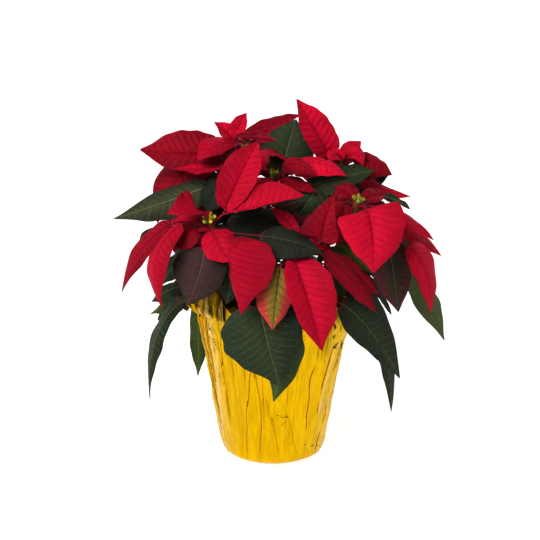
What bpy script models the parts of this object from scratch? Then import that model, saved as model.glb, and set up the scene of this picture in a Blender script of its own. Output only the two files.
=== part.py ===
"""Potted poinsettia in a pleated foil pot cover.

The plant stands in a plastic nursery pot inside the foil cover. One woody main stem leaves the
soil and forks into branches. Each branch carries green leaves, and ends in a bloom: a whorl of red
bracts round a small cluster of cyathia, which are the true flowers. The frame has its origin at the
centre of the cover's foot, +Z up, and the plant's best side faces -Y.
"""

import math
import random
from collections import namedtuple

import bmesh
import bpy
from mathutils import Vector
from mathutils.bvhtree import BVHTree

MM = 0.001
TOUCH_GAP = 0.3 * MM
WELD = 0.01 * MM

# Foil pot cover: radius of the body at each height, then the neck and the ruffled lip above it.
COVER_WALL = 0.8 * MM
COVER_PROFILE = [(0, 46), (3, 52.5), (6, 56.8), (10, 58.2), (60, 66.7), (113, 75.8), (140, 81.2)]
COVER_COLUMNS = 38
NECK_HEIGHT = 160
NECK_RADIUS = 86.5
NECK_TILT = 12
NECK_TILT_TOWARDS = math.radians(215)
LIP_HEIGHT = 25
LIP_RADIUS = 94
LIP_ZIGZAG = 8
LIP_POINTS = 7
PLEAT_DEPTH_FOOT = 0.5
PLEAT_DEPTH_NECK = 1.7

# Nursery pot, the common six inch size.
POT_HEIGHT = 146
POT_WALL = 1.4
POT_FOOT_RADIUS = 41
POT_HEEL_RADIUS = 50
POT_HEEL_HEIGHT = 6
POT_RIM_RADIUS = 75.5
POT_BAND_RADIUS = 73.5
POT_BAND_HEIGHT = 24
POT_SIDE_RADIUS = 71
POT_STEPS = 20
DRAIN_HOLES = 4
DRAIN_RADIUS = 5
DRAIN_CIRCLE = 28

# Potting soil: it fills the pot to a little under the rim and mounds towards the stem.
SOIL_TOP = 130
SOIL_MOUND = 7
SOIL_RINGS = 5
SOIL_ROUGHNESS = 2.2

# Woody main stem, with a short fork for each branch.
STEM_FOOT = 95
STEM_RADIUS = 6.5
STEM_TOP = 172
STEM_TOP_RADIUS = 5
FORK_RADIUS = 3.7
FORK_LENGTH = 15
FORK_HEIGHTS = {"low": 144, "middle": 147, "high": 154}
FORK_RISE = 0.75
BRANCH_RADIUS_LOW = 3.4
BRANCH_RADIUS_HIGH = 2.5
BRANCH_STEPS = 7
STRAIGHT_END = 3

# The receptacle under the cyathia, which the bract stalks grow from.
RECEPTACLE_RADIUS = 4
RECEPTACLE_LENGTH = 11

# Cyathia: little green cups.
CUP_RADIUS = 2.2
CUP_LENGTH = 5.5
CUP_SPACING = 0.92
CUP_STALK = 4.5

BLADE_THICKNESS = 0.8 * MM
STALK_THICKNESS = 2.4 * MM

# A blade is a leaf or a bract. Lengths are in millimetres and angles in degrees. left and right are
# meant with the tip pointing up and the upper side towards the viewer.
#   start   where its stalk ends and its blade begins
#   via     where its midrib passes halfway along
#   tip     where its point lies
#   left    from the midrib to the left edge at the widest place
#   right   the same on the right
#   face    the direction that its upper side faces
#   fold    how far each half is lifted above flat, or drooped if negative
#   twist   the turn about the midrib, from start to tip
#   wave    height of the waves along its edges
#   root    on a leaf, how far up the branch it grows, as a share of the branch's length
Blade = namedtuple("Blade", "start via tip left right face fold form twist wave root")


def bract(start, via, tip, left, right, face, fold=0, form="ovate", twist=0, wave=1.0):
    return Blade(start, via, tip, left, right, face, fold, form, twist, wave, None)


def leaf(root, start, via, tip, left, right, face, fold=0, form="lobed", twist=0, wave=1.5):
    return Blade(start, via, tip, left, right, face, fold, form, twist, wave, root)


# Outline of each form: how soon it narrows to its base and to its tip, and how deep its side lobes
# are.
FORMS = {
    "ovate": (0.62, 0.9, 0.0),
    "oval": (0.72, 0.72, 0.0),
    "heart": (0.42, 0.85, 0.0),
    "full": (0.3, 0.85, 0.0),
    "wedge": (0.2, 0.85, 0.0),
    "spade": (0.35, 1.6, 0.0),
    "lance": (0.85, 0.95, 0.0),
    "lobed": (0.6, 0.95, 0.13),
    "plain": (0.6, 0.95, 0.0),
}
DRAWN_TIP = 0.35

# The crown as it is seen from the front: at each height, how far it reaches to the left and right.
# What lies behind the middle looks higher by this share of its distance.
CROWN = [
    (100, -60, 60), (150, -70, 90), (180, -85, 120), (210, -105, 140), (240, -118, 155),
    (285, -124, 145), (315, -122, 118), (345, -116, 104), (362, -100, 84), (378, -60, 58),
    (392, -34, 46), (402, 0, 36),
]
CROWN_RISE = 0.27

# A head is one branch with its bloom: where the bloom's centre is, the direction that it faces, the
# tier of the main stem that it forks from, how many cyathia stand in a ring round the middle one,
# its bracts, and its leaves. Then come the compass directions in degrees, anticlockwise from +X, in
# which further bracts and leaves fill in where there is room. Each such leaf also has its root.
Head = namedtuple("Head", "name hub axis tier cups bracts leaves more_bracts more_leaves")

HEADS = [
    Head("front_left", (-67, -75, 289), (-0.25, -0.5, 0.83), "low", 5, [
        bract((-53, -80, 299), (-38, -62, 333), (-16, -40, 371), 22, 21, (-0.1, -0.9, 0.4), 18, "oval"),
        bract((-56, -82, 300), (-12, -80, 309), (33, -75, 319), 26, 22, (0, -0.38, 0.92), 37, "oval"),
        bract((-76, -70, 298), (-93, -86, 300), (-113, -95, 304), 20, 30, (0, -0.38, 0.92), 37, "wedge"),
        bract((-91, -85, 296), (-124, -115, 260), (-118, -112, 205), 15, 20, (-0.6, -0.7, 0.35), -28),
        bract((-100, -82, 294), (-140, -88, 264), (-165, -72, 210), 13, 16, (-0.5, -0.6, 0.6), -12, "heart"),
        bract((-82, -79, 287), (-95, -85, 280), (-113, -84, 266), 20, 17, (-0.25, -0.6, 0.75), -8),
        bract((-79, -66, 293), (-90, -62, 292), (-108, -58, 287), 13, 13, (-0.25, -0.6, 0.75)),
        bract((-65, -92, 287), (-61, -116, 277), (-51, -128, 263), 18, 17, (-0.1, -0.75, 0.65), -5, "heart"),
        bract((-49, -104, 279), (-43, -130, 249), (-34, -138, 205), 48, 18, (-0.6, -0.75, 0.25), -45, "heart"),
    ], [
        leaf(0.86, (-73, -95, 271), (-78, -108, 243), (-92, -112, 207), 27, 31, (-0.1, -0.9, 0.4), -8, "plain"),
        leaf(0.8, (-96, -50, 199), (-131, -46, 150), (-140, -30, 69), 10, 22, (-0.6, -0.6, 0.4), -30),
        leaf(0.9, (-16, -92, 279), (18, -104, 276), (52, -113, 265), 14, 21, (0.1, -0.8, 0.6), -8),
        leaf(0.8, (-103, -22, 188), (-119, -12, 180), (-141, 0, 164), 10, 9, (-0.3, -0.5, 0.8), -10, "plain"),
        leaf(0.8, (-96, -60, 255), (-110, -50, 235), (-123, -42, 211), 13, 11, (-0.5, -0.7, 0.4), -10, "plain"),
        leaf(0.8, (-98, -42, 211), (-119, -30, 200), (-137, -20, 185), 12, 11, (-0.3, -0.6, 0.7), -10, "plain"),
        leaf(0.6, (-55, -80, 251), (-47, -90, 230), (-51, -94, 203), 15, 15, (0, -0.9, 0.4), -8, "plain"),
    ], (), ((165, 0.45), (190, 0.6))),
    Head("upper_left", (-31, 14, 348), (-0.1, -0.1, 0.98), "high", 3, [
        bract((-50, 0, 354), (-96, -6, 352), (-148, 0, 355), 23, 26, (-0.1, -0.85, 0.5), 8),
        bract((-54, 5, 342), (-106, 5, 323), (-130, 0, 271), 24, 30, (-0.4, -0.7, 0.6), -10),
        bract((-52, -12, 340), (-77, -22, 338), (-109, -24, 338), 18, 18, (0, -0.15, 0.98), 5),
        bract((-37, -6, 362), (-58, -22, 364), (-82, -36, 349), 11, 26, (-0.3, -0.6, 0.75), -12, "oval"),
        bract((-42, -8, 363), (-50, -8, 375), (-65, -8, 387), 9, 10, (-0.2, -0.6, 0.75), 10),
        bract((-45, -11, 371), (-19, -15, 372), (6, -24, 368), 12, 11, (-0.1, 0.62, 0.78), 5, "lance"),
        bract((-43, 22, 362), (-39, 32, 375), (-30, 44, 389), 10, 9, (0, -0.85, 0.5), 10),
        bract((-25, -6, 356), (-16, -18, 350), (-11, -24, 336), 15, 10, (0.4, -0.7, 0.6), -8),
    ], [
        leaf(0.8, (-61, -22, 323), (-116, -30, 303), (-176, -35, 284), 20, 17, (-0.1, -0.75, 0.6), -10),
        leaf(0.7, (-54, -30, 328), (-64, -36, 312), (-72, -42, 290), 16, 16, (-0.2, -0.8, 0.5), 5, "plain"),
    ], (60, 20, 95), ((250, 0.55), (200, 0.6), (170, 0.4), (130, 0.5))),
    Head("middle", (-1, 0, 323), (0.15, -0.2, 0.96), "top", 3, [
        bract((15, -8, 331), (47, -20, 344), (81, -26, 330), 10, 17, (0.1, -0.7, 0.7), -15),
        bract((9, -14, 331), (24, -28, 345), (47, -38, 332), 8, 14, (-0.1, -0.8, 0.6), -10),
        bract((5, -10, 323), (26, -27, 321), (47, -40, 315), 10, 9, (0.2, -0.7, 0.65)),
        bract((-6, -11, 325), (-12, -22, 324), (-21, -32, 318), 11, 10, (-0.3, -0.8, 0.5), -8),
    ], [
        leaf(0.8, (12, 17, 331), (17, 31, 353), (26, 42, 382), 30, 31, (-0.05, -0.85, 0.45), -6, "heart"),
        leaf(0.72, (34, -16, 315), (74, -16, 327), (112, -14, 334), 26, 21, (0, -0.5, 0.87), -6, "heart"),
        leaf(0.66, (50, -24, 317), (40, -38, 307), (27, -48, 290), 25, 19, (0.1, -0.75, 0.6), -4, "plain"),
        leaf(0.5, (-50, -50, 292), (-14, -60, 286), (22, -66, 275), 23, 25, (0, -0.6, 0.8), -6, "plain"),
        leaf(0.62, (36, -36, 307), (19, -44, 303), (3, -52, 297), 9, 10, (0, -0.7, 0.7), 0, "plain"),
        leaf(0.75, (14, 20, 325), (1, 16, 333), (-12, 12, 335), 9, 9, (-0.1, -0.7, 0.7), 0, "plain"),
    ], (100, 150, 200), ((255, 0.5), (300, 0.55), (345, 0.4), (80, 0.5), (180, 0.35))),
    Head("upper_right", (76, 35, 330), (0.2, 0, 0.98), "high", 3, [
        bract((66, 28, 339), (47, 22, 373), (26, 16, 409), 17, 20, (0.1, -0.9, 0.4), 10, "heart", wave=1.6),
        bract((84, 26, 335), (89, 26, 347), (99, 25, 360), 14, 9, (0, -0.9, 0.4), 8, wave=1.6),
        bract((87, 25, 337), (109, 14, 339), (133, 5, 325), 11, 26, (0.2, -0.75, 0.6), -10, wave=1.6),
        bract((93, 20, 326), (118, 10, 309), (155, 12, 299), 10, 9, (0.2, -0.6, 0.75), -10),
        bract((76, 25, 337), (70, 14, 346), (62, 6, 339), 10, 10, (-0.3, -0.8, 0.5), wave=1.6),
        bract((81, 25, 338), (92, 13, 348), (101, 6, 335), 10, 10, (0.3, -0.8, 0.5), wave=1.6),
    ], [], (55, 85, 115, 150), ((60, 0.62), (5, 0.7), (280, 0.6), (100, 0.5), (340, 0.4), (20, 0.45))),
    Head("right", (90, -60, 307), (0.25, -0.45, 0.85), "low", 4, [
        bract((98, -79, 309), (105, -101, 283), (106, -108, 242), 37, 35, (0.1, -0.95, 0.3), 6, "full"),
        bract((80, -60, 312), (73, -62, 287), (74, -63, 260), 13, 16, (0, -0.9, 0.4)),
        bract((86, -58, 311), (80, -50, 317), (66, -44, 323), 14, 12, (0, -0.7, 0.7), 5),
        bract((96, -55, 310), (110, -45, 312), (123, -37, 311), 11, 9, (0, -0.7, 0.7), 5),
        bract((107, -60, 304), (143, -58, 290), (175, -55, 265), 9, 12, (0.3, -0.6, 0.75), -10),
        bract((114, -52, 296), (153, -42, 273), (186, -35, 242), 11, 16, (0.4, -0.5, 0.75), -14),
        bract((146, -68, 264), (165, -76, 235), (172, -70, 187), 22, 15, (0.5, -0.75, 0.4), -18, "heart"),
    ], [
        leaf(0.84, (125, -55, 267), (131, -60, 230), (138, -58, 184), 24, 23, (0.2, -0.9, 0.35), -8, "plain"),
        leaf(0.7, (66, -49, 262), (85, -54, 249), (108, -60, 229), 13, 13, (0.1, -0.8, 0.5), 10, "plain"),
        leaf(0.92, (116, -15, 306), (137, -12, 300), (153, -10, 289), 5, 5, (0.1, -0.7, 0.7), 8, "plain"),
        leaf(0.72, (153, 5, 225), (176, 8, 181), (198, 10, 129), 17, 15, (0.3, 0.8, 0.5), -10),
        leaf(0.6, (98, -40, 225), (118, -35, 199), (133, -30, 172), 7, 6, (0.5, -0.6, 0.6), -8, "plain"),
        leaf(0.4, (70, -84, 204), (106, -74, 168), (142, -50, 104), 36, 20, (0.4, -0.8, 0.45), -10),
        leaf(0.38, (88, -64, 200), (121, -64, 148), (133, -50, 64), 22, 15, (0.6, -0.6, 0.5), -12),
    ], (), ((230, 0.5), (10, 0.75), (0, 0.45), (25, 0.55))),
    Head("front", (20, -95, 264), (0.05, -0.6, 0.8), "low", 3, [
        bract((21, -105, 260), (36, -134, 222), (51, -140, 166), 31, 24, (0.35, -0.9, 0.25), 20),
        bract((47, -98, 265), (79, -88, 235), (112, -78, 190), 15, 13, (0.35, -0.75, 0.55), -10, "oval"),
        bract((60, -85, 256), (89, -77, 233), (115, -69, 206), 11, 11, (0.35, -0.75, 0.55)),
        bract((32, -92, 273), (50, -82, 266), (66, -72, 252), 6, 6, (0.1, -0.7, 0.7), wave=1.6),
        bract((52, -87, 270), (55, -84, 294), (69, -78, 329), 24, 18, (-0.1, -0.9, 0.4), 8, "spade"),
        bract((24, -86, 277), (16, -74, 290), (-4, -60, 303), 8, 8, (0.2, -0.8, 0.5)),
    ], [
        leaf(0.6, (-16, -108, 212), (-6, -118, 168), (7, -110, 116), 36, 46, (-0.05, -0.95, 0.25), -8),
        leaf(0.55, (-12, -100, 205), (6, -106, 156), (0, -96, 93), 27, 20, (-0.05, -0.95, 0.25), -5),
        leaf(0.8, (8, -111, 256), (3, -123, 221), (-1, -129, 185), 17, 22, (0, -0.9, 0.4), -6, "plain"),
        leaf(0.7, (56, -70, 244), (68, -68, 226), (81, -66, 203), 12, 13, (0.2, -0.8, 0.5), -5, "plain"),
    ], (), ()),
    Head("back", (-30, 80, 352), (-0.1, 0.4, 0.9), "high", 4, [
        bract((-38, 68, 357), (-2, 66, 373), (32, 60, 384), 11, 10, (0.1, -0.6, 0.75), -10),
    ], [], (30, 75, 115, 150, 190, 340), ((95, 0.62), (140, 0.75), (60, 0.5), (170, 0.45))),
    Head("back_right", (95, 85, 290), (0.45, 0.4, 0.8), "low", 3, [], [],
         (10, 55, 100, 145, 325, 350), ((0, 0.62), (30, 0.5), (70, 0.7), (335, 0.45), (350, 0.78))),
    Head("back_left", (-95, 72, 298), (-0.5, 0.4, 0.78), "low", 3, [], [
        leaf(0.78, (-90, 58, 161), (-89, 62, 112), (-90, 62, 68), 11, 11, (-0.3, -0.8, 0.4), -8),
    ], (85, 125, 165, 205, 240, 50), ((185, 0.62), (150, 0.5), (120, 0.7), (210, 0.4), (170, 0.8))),
    Head("left", (-80, 4, 268), (-0.62, -0.05, 0.78), "middle", 3, [], [],
         (180, 135, 225, 90), ((185, 0.6), (225, 0.5), (150, 0.7), (180, 0.35), (165, 0.85), (205, 0.85))),
    Head("side_right", (98, 8, 266), (0.7, 0.05, 0.7), "low", 3, [], [],
         (0, 50, 310, 90), ((0, 0.6), (35, 0.5), (325, 0.45), (15, 0.8), (345, 0.35), (340, 0.85))),
    Head("back_low", (5, 120, 268), (0.05, 0.65, 0.75), "low", 3, [], [],
         (20, 60, 95, 130, 165, 200), ((60, 0.62), (90, 0.5), (125, 0.7))),
]


def material(name, color, roughness, metallic=0.0):
    made = bpy.data.materials.new(name)
    made.use_nodes = True
    shader = made.node_tree.nodes["Principled BSDF"]
    shader.inputs["Base Color"].default_value = (*color, 1)
    shader.inputs["Roughness"].default_value = roughness
    shader.inputs["Metallic"].default_value = metallic
    made.diffuse_color = (*color, 1)
    return made


def add_object(name, mesh, collection, finish=None):
    made = bpy.data.objects.new(name, mesh)
    collection.objects.link(made)
    if finish:
        mesh.materials.clear()
        mesh.materials.append(finish)
    return made


def mesh_of(bm):
    mesh = bpy.data.meshes.new("shape")
    bmesh.ops.recalc_face_normals(bm, faces=bm.faces)
    bm.to_mesh(mesh)
    bm.free()
    return mesh


def evaluated_mesh(obj):
    """The object's mesh with its modifiers applied."""
    graph = bpy.context.evaluated_depsgraph_get()
    return bpy.data.meshes.new_from_object(obj.evaluated_get(graph))


def weld(mesh):
    """Join points that lie together, as where a curve's caps meet its sides."""
    bm = bmesh.new()
    bm.from_mesh(mesh)
    bmesh.ops.remove_doubles(bm, verts=bm.verts, dist=WELD)
    bm.to_mesh(mesh)
    bm.free()


def tube(points, radii, collection, sides=2):
    """A mesh tube along points, in metres, thick as radii say. sides is the bevel resolution."""
    curve = bpy.data.curves.new("tube", "CURVE")
    curve.dimensions = "3D"
    curve.bevel_depth = 1
    curve.bevel_resolution = sides
    curve.use_fill_caps = True
    spline = curve.splines.new("POLY")
    spline.points.add(len(points) - 1)
    for knot, place, radius in zip(spline.points, points, radii):
        knot.co = (*place, 1)
        knot.radius = radius
    guide = bpy.data.objects.new("tube", curve)
    collection.objects.link(guide)
    bpy.context.view_layer.update()
    mesh = evaluated_mesh(guide)
    weld(mesh)
    bpy.data.objects.remove(guide)
    return add_object("tube", mesh, collection)


def fuse(name, body, others, collection, finish):
    """One solid, named name, of body and everything in the collection others, which it empties."""
    union = body.modifiers.new("fuse", "BOOLEAN")
    union.operation = "UNION"
    union.operand_type = "COLLECTION"
    union.collection = others
    union.solver = "MANIFOLD"
    bpy.context.view_layer.update()
    mesh = evaluated_mesh(body)
    for obj in [*others.objects, body]:
        bpy.data.objects.remove(obj)
    bpy.data.collections.remove(others)
    return add_object(name, mesh, collection, finish)


def bezier(start, start_handle, end_handle, end, share):
    rest = 1 - share
    return (
        start * rest**3
        + start_handle * 3 * rest**2 * share
        + end_handle * 3 * rest * share**2
        + end * share**3
    )


def outline(blade, share):
    """How wide the blade is at a share of the way from its start to its tip, 1 being the widest."""
    full_base, full_tip, lobes = FORMS[blade.form]
    widest = full_base / (full_base + full_tip)
    peak = widest**full_base * (1 - widest) ** full_tip
    width = share**full_base * (1 - share) ** full_tip / peak
    for at, size in ((0.32, 1.0), (0.52, 0.7)):
        width *= 1 + lobes * size * max(0, 1 - abs(share - at) / 0.1)
    return width * (1 - DRAWN_TIP * max(0, share * 4 - 3))


def blade_point(blade, base, along, across):
    """A point of the blade's middle surface, in millimetres. along runs from -1 at the foot of the
    stalk, past 0 at the blade's start, to 1 at the tip. across runs from -1 to 1 between its edges."""
    start, via, end = Vector(blade.start), Vector(blade.via), Vector(blade.tip)
    share = max(0.0, along)
    knee = via * 2 - (start + end) / 2
    heading = ((knee - start) * (1 - share) + (end - knee) * share).normalized()
    place = start * (1 - share) ** 2 + knee * 2 * share * (1 - share) + end * share**2
    if along < 0:
        place = start.lerp(Vector(base), -along)
        heading = (start - Vector(base)).normalized().lerp(heading, 0.5).normalized()
    face = Vector(blade.face)
    up = (face - heading * face.dot(heading)).normalized()
    side = heading.cross(up)
    turn = math.radians(blade.twist) * (share - 0.5)
    up, side = up * math.cos(turn) + side * math.sin(turn), side * math.cos(turn) - up * math.sin(turn)
    half = (blade.left if across < 0 else blade.right) * outline(blade, share)
    half = max(half, STALK_THICKNESS / MM / 2 * (1 - share) ** 0.5)
    lift = math.radians(blade.fold)
    wave = blade.wave * across**2 * math.sin(2 * math.pi * (1.6 * share + 0.23 * across))
    wave *= math.sin(math.pi * share)
    rise = abs(across) * half * math.sin(lift) + wave
    return place + side * across * half * math.cos(lift) + up * rise


def blade_rows(blade):
    """Where along a blade it has a row of points."""
    if blade.left + blade.right < 24:
        return (-1, 0, 0.25, 0.62, 1)
    if blade.form == "lobed":
        return (-1, 0, 0.13, 0.32, 0.52, 0.7, 0.86, 1)
    if blade.form in ("plain", "oval"):
        return (-1, 0, 0.22, 0.62, 1)
    return (-1, 0, 0.16, 0.42, 0.72, 1)


def blade_columns(blade):
    return (-1, -0.55, 0, 0.55, 1) if blade.left + blade.right > 58 else (-1, 0, 1)


def blade_sheet(blade, base):
    """The blade as an open sheet in metres, split into triangles, with the stalk in a vertex group."""
    rows, columns = blade_rows(blade), blade_columns(blade)
    bm = bmesh.new()
    bmesh.ops.create_grid(bm, x_segments=len(columns) - 1, y_segments=len(rows) - 1, size=1)
    stalk = bm.verts.layers.deform.new()
    for vert in bm.verts:
        row = round((vert.co.y + 1) / 2 * (len(rows) - 1))
        column = round((vert.co.x + 1) / 2 * (len(columns) - 1))
        vert.co = blade_point(blade, base, rows[row], columns[column]) * MM
        vert[stalk][0] = 1.0 if row < 2 else 0.0
    bmesh.ops.triangulate(bm, faces=bm.faces)
    bmesh.ops.remove_doubles(bm, verts=bm.verts, dist=WELD)
    return bm


def blade_solid(blade, base, collection):
    bm = blade_sheet(blade, base)
    mesh = bpy.data.meshes.new("blade")
    bm.to_mesh(mesh)
    bm.free()
    made = add_object("blade", mesh, collection)
    made.vertex_groups.new(name="stalk")
    solidify = made.modifiers.new("thickness", "SOLIDIFY")
    solidify.thickness = STALK_THICKNESS
    solidify.offset = 0
    solidify.vertex_group = "stalk"
    solidify.thickness_vertex_group = BLADE_THICKNESS / STALK_THICKNESS
    return made


def cover_neck(angle):
    return NECK_HEIGHT + NECK_TILT * math.cos(angle - NECK_TILT_TOWARDS)


def cover_radius(height, angle):
    """Radius of the cover's body or lip, without its pleats, in millimetres."""
    neck = cover_neck(angle)
    points = [*COVER_PROFILE, (neck, NECK_RADIUS), (neck + LIP_HEIGHT, LIP_RADIUS)]
    for (low, near), (high, far) in zip(points, points[1:]):
        if height <= high:
            return near + (far - near) * (height - low) / (high - low)
    return LIP_RADIUS


def foil_cover(collection, finish):
    heights = [height for height, _ in COVER_PROFILE]
    bm = bmesh.new()
    made = bmesh.ops.create_cone(
        bm, cap_ends=True, segments=COVER_COLUMNS, radius1=1, radius2=1, depth=1
    )
    top = max(bm.faces, key=lambda face: face.calc_center_median().z)
    bmesh.ops.delete(bm, geom=[top], context="FACES_ONLY")
    upright = [e for e in bm.edges if abs(e.verts[0].co.z - e.verts[1].co.z) > 0.5]
    bands = len(heights) + 2
    bmesh.ops.subdivide_edges(bm, edges=upright, cuts=bands - 1, use_grid_fill=True)
    draw = random.Random(11)
    depths = [draw.uniform(0.5, 1.3) for _ in range(COVER_COLUMNS)]
    for vert in bm.verts:
        row = round((vert.co.z + 0.5) * bands)
        angle = math.atan2(vert.co.y, vert.co.x)
        column = round(angle / (2 * math.pi) * COVER_COLUMNS) % COVER_COLUMNS
        neck = cover_neck(angle)
        height = [*heights, neck, neck + LIP_HEIGHT * 0.5, neck + LIP_HEIGHT][row]
        rise = height / neck
        pleat = PLEAT_DEPTH_FOOT + (PLEAT_DEPTH_NECK - PLEAT_DEPTH_FOOT) * rise
        radius = cover_radius(height, angle) + pleat * depths[column] * (1 if column % 2 else -1)
        if row == bands:
            height += LIP_ZIGZAG * math.sin(LIP_POINTS * angle) + depths[column] * 2
        vert.co = Vector((radius * math.cos(angle), radius * math.sin(angle), height)) * MM
    cover = add_object("foil_cover", mesh_of(bm), collection, finish)
    wall = cover.modifiers.new("wall", "SOLIDIFY")
    wall.thickness = COVER_WALL
    wall.offset = -1
    return cover


def turned(name, profile, collection, finish, steps):
    """A solid of revolution about Z of a closed profile of (radius, height) in millimetres."""
    mesh = bpy.data.meshes.new(name)
    count = len(profile)
    on_axis = profile[0][0] == 0
    edges = [(i, (i + 1) % count) for i in range(count - 1 if on_axis else count)]
    mesh.from_pydata([(r * MM, 0, z * MM) for r, z in profile], edges, [])
    made = add_object(name, mesh, collection, finish)
    screw = made.modifiers.new("turn", "SCREW")
    screw.steps = screw.render_steps = steps
    screw.use_merge_vertices = True
    screw.merge_threshold = WELD
    screw.use_normal_calculate = True
    return made


def solid_copy(obj, collection):
    """obj's evaluated mesh, with its faces pointing out, in place of obj."""
    name, finish = obj.name, obj.data.materials[0]
    bm = bmesh.new()
    bm.from_mesh(evaluated_mesh(obj))
    bpy.data.objects.remove(obj)
    made = add_object(name, mesh_of(bm), collection, finish)
    made.name = name
    return made


def nursery_pot(collection, finish):
    foot = COVER_WALL / MM + TOUCH_GAP / MM
    rim = foot + POT_HEIGHT
    band = rim - POT_BAND_HEIGHT
    heel = foot + POT_HEEL_HEIGHT
    profile = [
        (0, foot), (POT_FOOT_RADIUS, foot), (POT_HEEL_RADIUS, heel), (POT_SIDE_RADIUS, band),
        (POT_BAND_RADIUS, band + 1),
        (POT_RIM_RADIUS - 1, rim - 4), (POT_RIM_RADIUS, rim), (POT_RIM_RADIUS - POT_WALL, rim),
        (POT_SIDE_RADIUS - POT_WALL, band), (POT_HEEL_RADIUS - POT_WALL, heel),
        (POT_FOOT_RADIUS - POT_WALL / 2, foot + POT_WALL),
        (0, foot + POT_WALL),
    ]
    pot = solid_copy(turned("nursery_pot", profile, collection, finish, POT_STEPS), collection)
    cutters = bpy.data.collections.new("drain_holes")
    for turn in range(DRAIN_HOLES):
        angle = 2 * math.pi * turn / DRAIN_HOLES
        bm = bmesh.new()
        bmesh.ops.create_cone(
            bm, cap_ends=True, segments=8, radius1=DRAIN_RADIUS * MM, radius2=DRAIN_RADIUS * MM,
            depth=POT_WALL * 4 * MM,
        )
        hole = add_object("hole", mesh_of(bm), cutters)
        hole.location = (
            DRAIN_CIRCLE * MM * math.cos(angle), DRAIN_CIRCLE * MM * math.sin(angle), foot * MM
        )
    cut = pot.modifiers.new("drain", "BOOLEAN")
    cut.operand_type = "COLLECTION"
    cut.collection = cutters
    bpy.context.view_layer.update()
    mesh = evaluated_mesh(pot)
    for obj in [*cutters.objects, pot]:
        bpy.data.objects.remove(obj)
    bpy.data.collections.remove(cutters)
    return add_object("nursery_pot", mesh, collection, finish)


def potting_soil(collection, finish):
    """Soil with a lumpy, mounded top and a plain blind hole that the main stem stands in."""
    gap = TOUCH_GAP / MM
    foot = COVER_WALL / MM + gap + POT_WALL + gap
    band = COVER_WALL / MM + gap + POT_HEIGHT - POT_BAND_HEIGHT
    heel = foot + POT_HEEL_HEIGHT - POT_WALL
    inner_foot = POT_FOOT_RADIUS - POT_WALL - gap * 2
    inner_heel = POT_HEEL_RADIUS - POT_WALL - gap * 2
    inner_band = POT_SIDE_RADIUS - POT_WALL - gap * 2
    hole = STEM_RADIUS + gap
    rings = [
        (inner_band + (hole - inner_band) * i / SOIL_RINGS, SOIL_TOP + SOIL_MOUND * i / SOIL_RINGS)
        for i in range(SOIL_RINGS + 1)
    ]
    profile = [(0, foot), (inner_foot, foot), (inner_heel, heel), (inner_band, band), *rings]
    profile += [(hole, STEM_FOOT - gap), (0, STEM_FOOT - gap)]
    soil = solid_copy(turned("potting_soil", profile, collection, finish, POT_STEPS), collection)
    draw = random.Random(5)
    for vert in soil.data.vertices:
        radius = math.hypot(vert.co.x, vert.co.y) / MM
        if vert.co.z > (SOIL_TOP + 0.5) * MM and radius > hole + 1:
            vert.co.z += draw.uniform(-1, 1) * SOIL_ROUGHNESS * MM
    return soil


def fork(head):
    """(foot on the main stem's axis, end, direction) of the fork that a head's branch grows from."""
    if head.tier == "top":
        return Vector((0, 0, STEM_TOP - FORK_LENGTH)), Vector((0, 0, STEM_TOP)), Vector((0, 0, 1))
    out = Vector((head.hub[0], head.hub[1], 0)).normalized()
    heading = (out + Vector((0, 0, FORK_RISE))).normalized()
    foot = Vector((0, 0, FORK_HEIGHTS[head.tier]))
    return foot, foot + heading * FORK_LENGTH, heading


def branch_points(head):
    """The centre line of a head's branch, from its fork to just under its receptacle, in mm."""
    _, end, heading = fork(head)
    axis = Vector(head.axis).normalized()
    first = end + heading * TOUCH_GAP / MM
    last = Vector(head.hub) - axis * (RECEPTACLE_LENGTH + TOUCH_GAP / MM)
    start, finish = first + heading * STRAIGHT_END, last - axis * STRAIGHT_END
    reach = (finish - start).length * 0.4
    handles = (start, start + heading * reach, finish - axis * reach, finish)
    steps = BRANCH_STEPS - 2
    return [first, *(bezier(*handles, step / steps) for step in range(steps + 1)), last]


def on_branch(head, share):
    """The point at a share of the way up a head's branch, in millimetres."""
    points = branch_points(head)
    place = share * BRANCH_STEPS
    step = min(int(place), BRANCH_STEPS - 1)
    return points[step].lerp(points[step + 1], place - step)


def main_stem(collection, finish):
    parts = bpy.data.collections.new("forks")
    bpy.context.scene.collection.children.link(parts)
    heights = (STEM_FOOT, SOIL_TOP + SOIL_MOUND, STEM_TOP)
    body = tube(
        [Vector((0, 0, height)) * MM for height in heights],
        [STEM_RADIUS * MM, STEM_RADIUS * MM * 0.95, STEM_TOP_RADIUS * MM],
        collection,
    )
    for head in HEADS:
        if head.tier != "top":
            foot, end, _ = fork(head)
            tube([foot * MM, end * MM], [FORK_RADIUS * MM] * 2, parts, sides=1)
    return fuse("main_stem", body, parts, collection, finish)


def bract_base(head, blade, index):
    """Where a bract's stalk starts: inside the receptacle, the lower ones on the outside."""
    axis = Vector(head.axis).normalized()
    hub = Vector(head.hub)
    out = Vector(blade.tip) - hub
    out = (out - axis * out.dot(axis)).normalized()
    return hub - axis * (2.5 + index % 4 * 1.6) + out * 2


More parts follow.
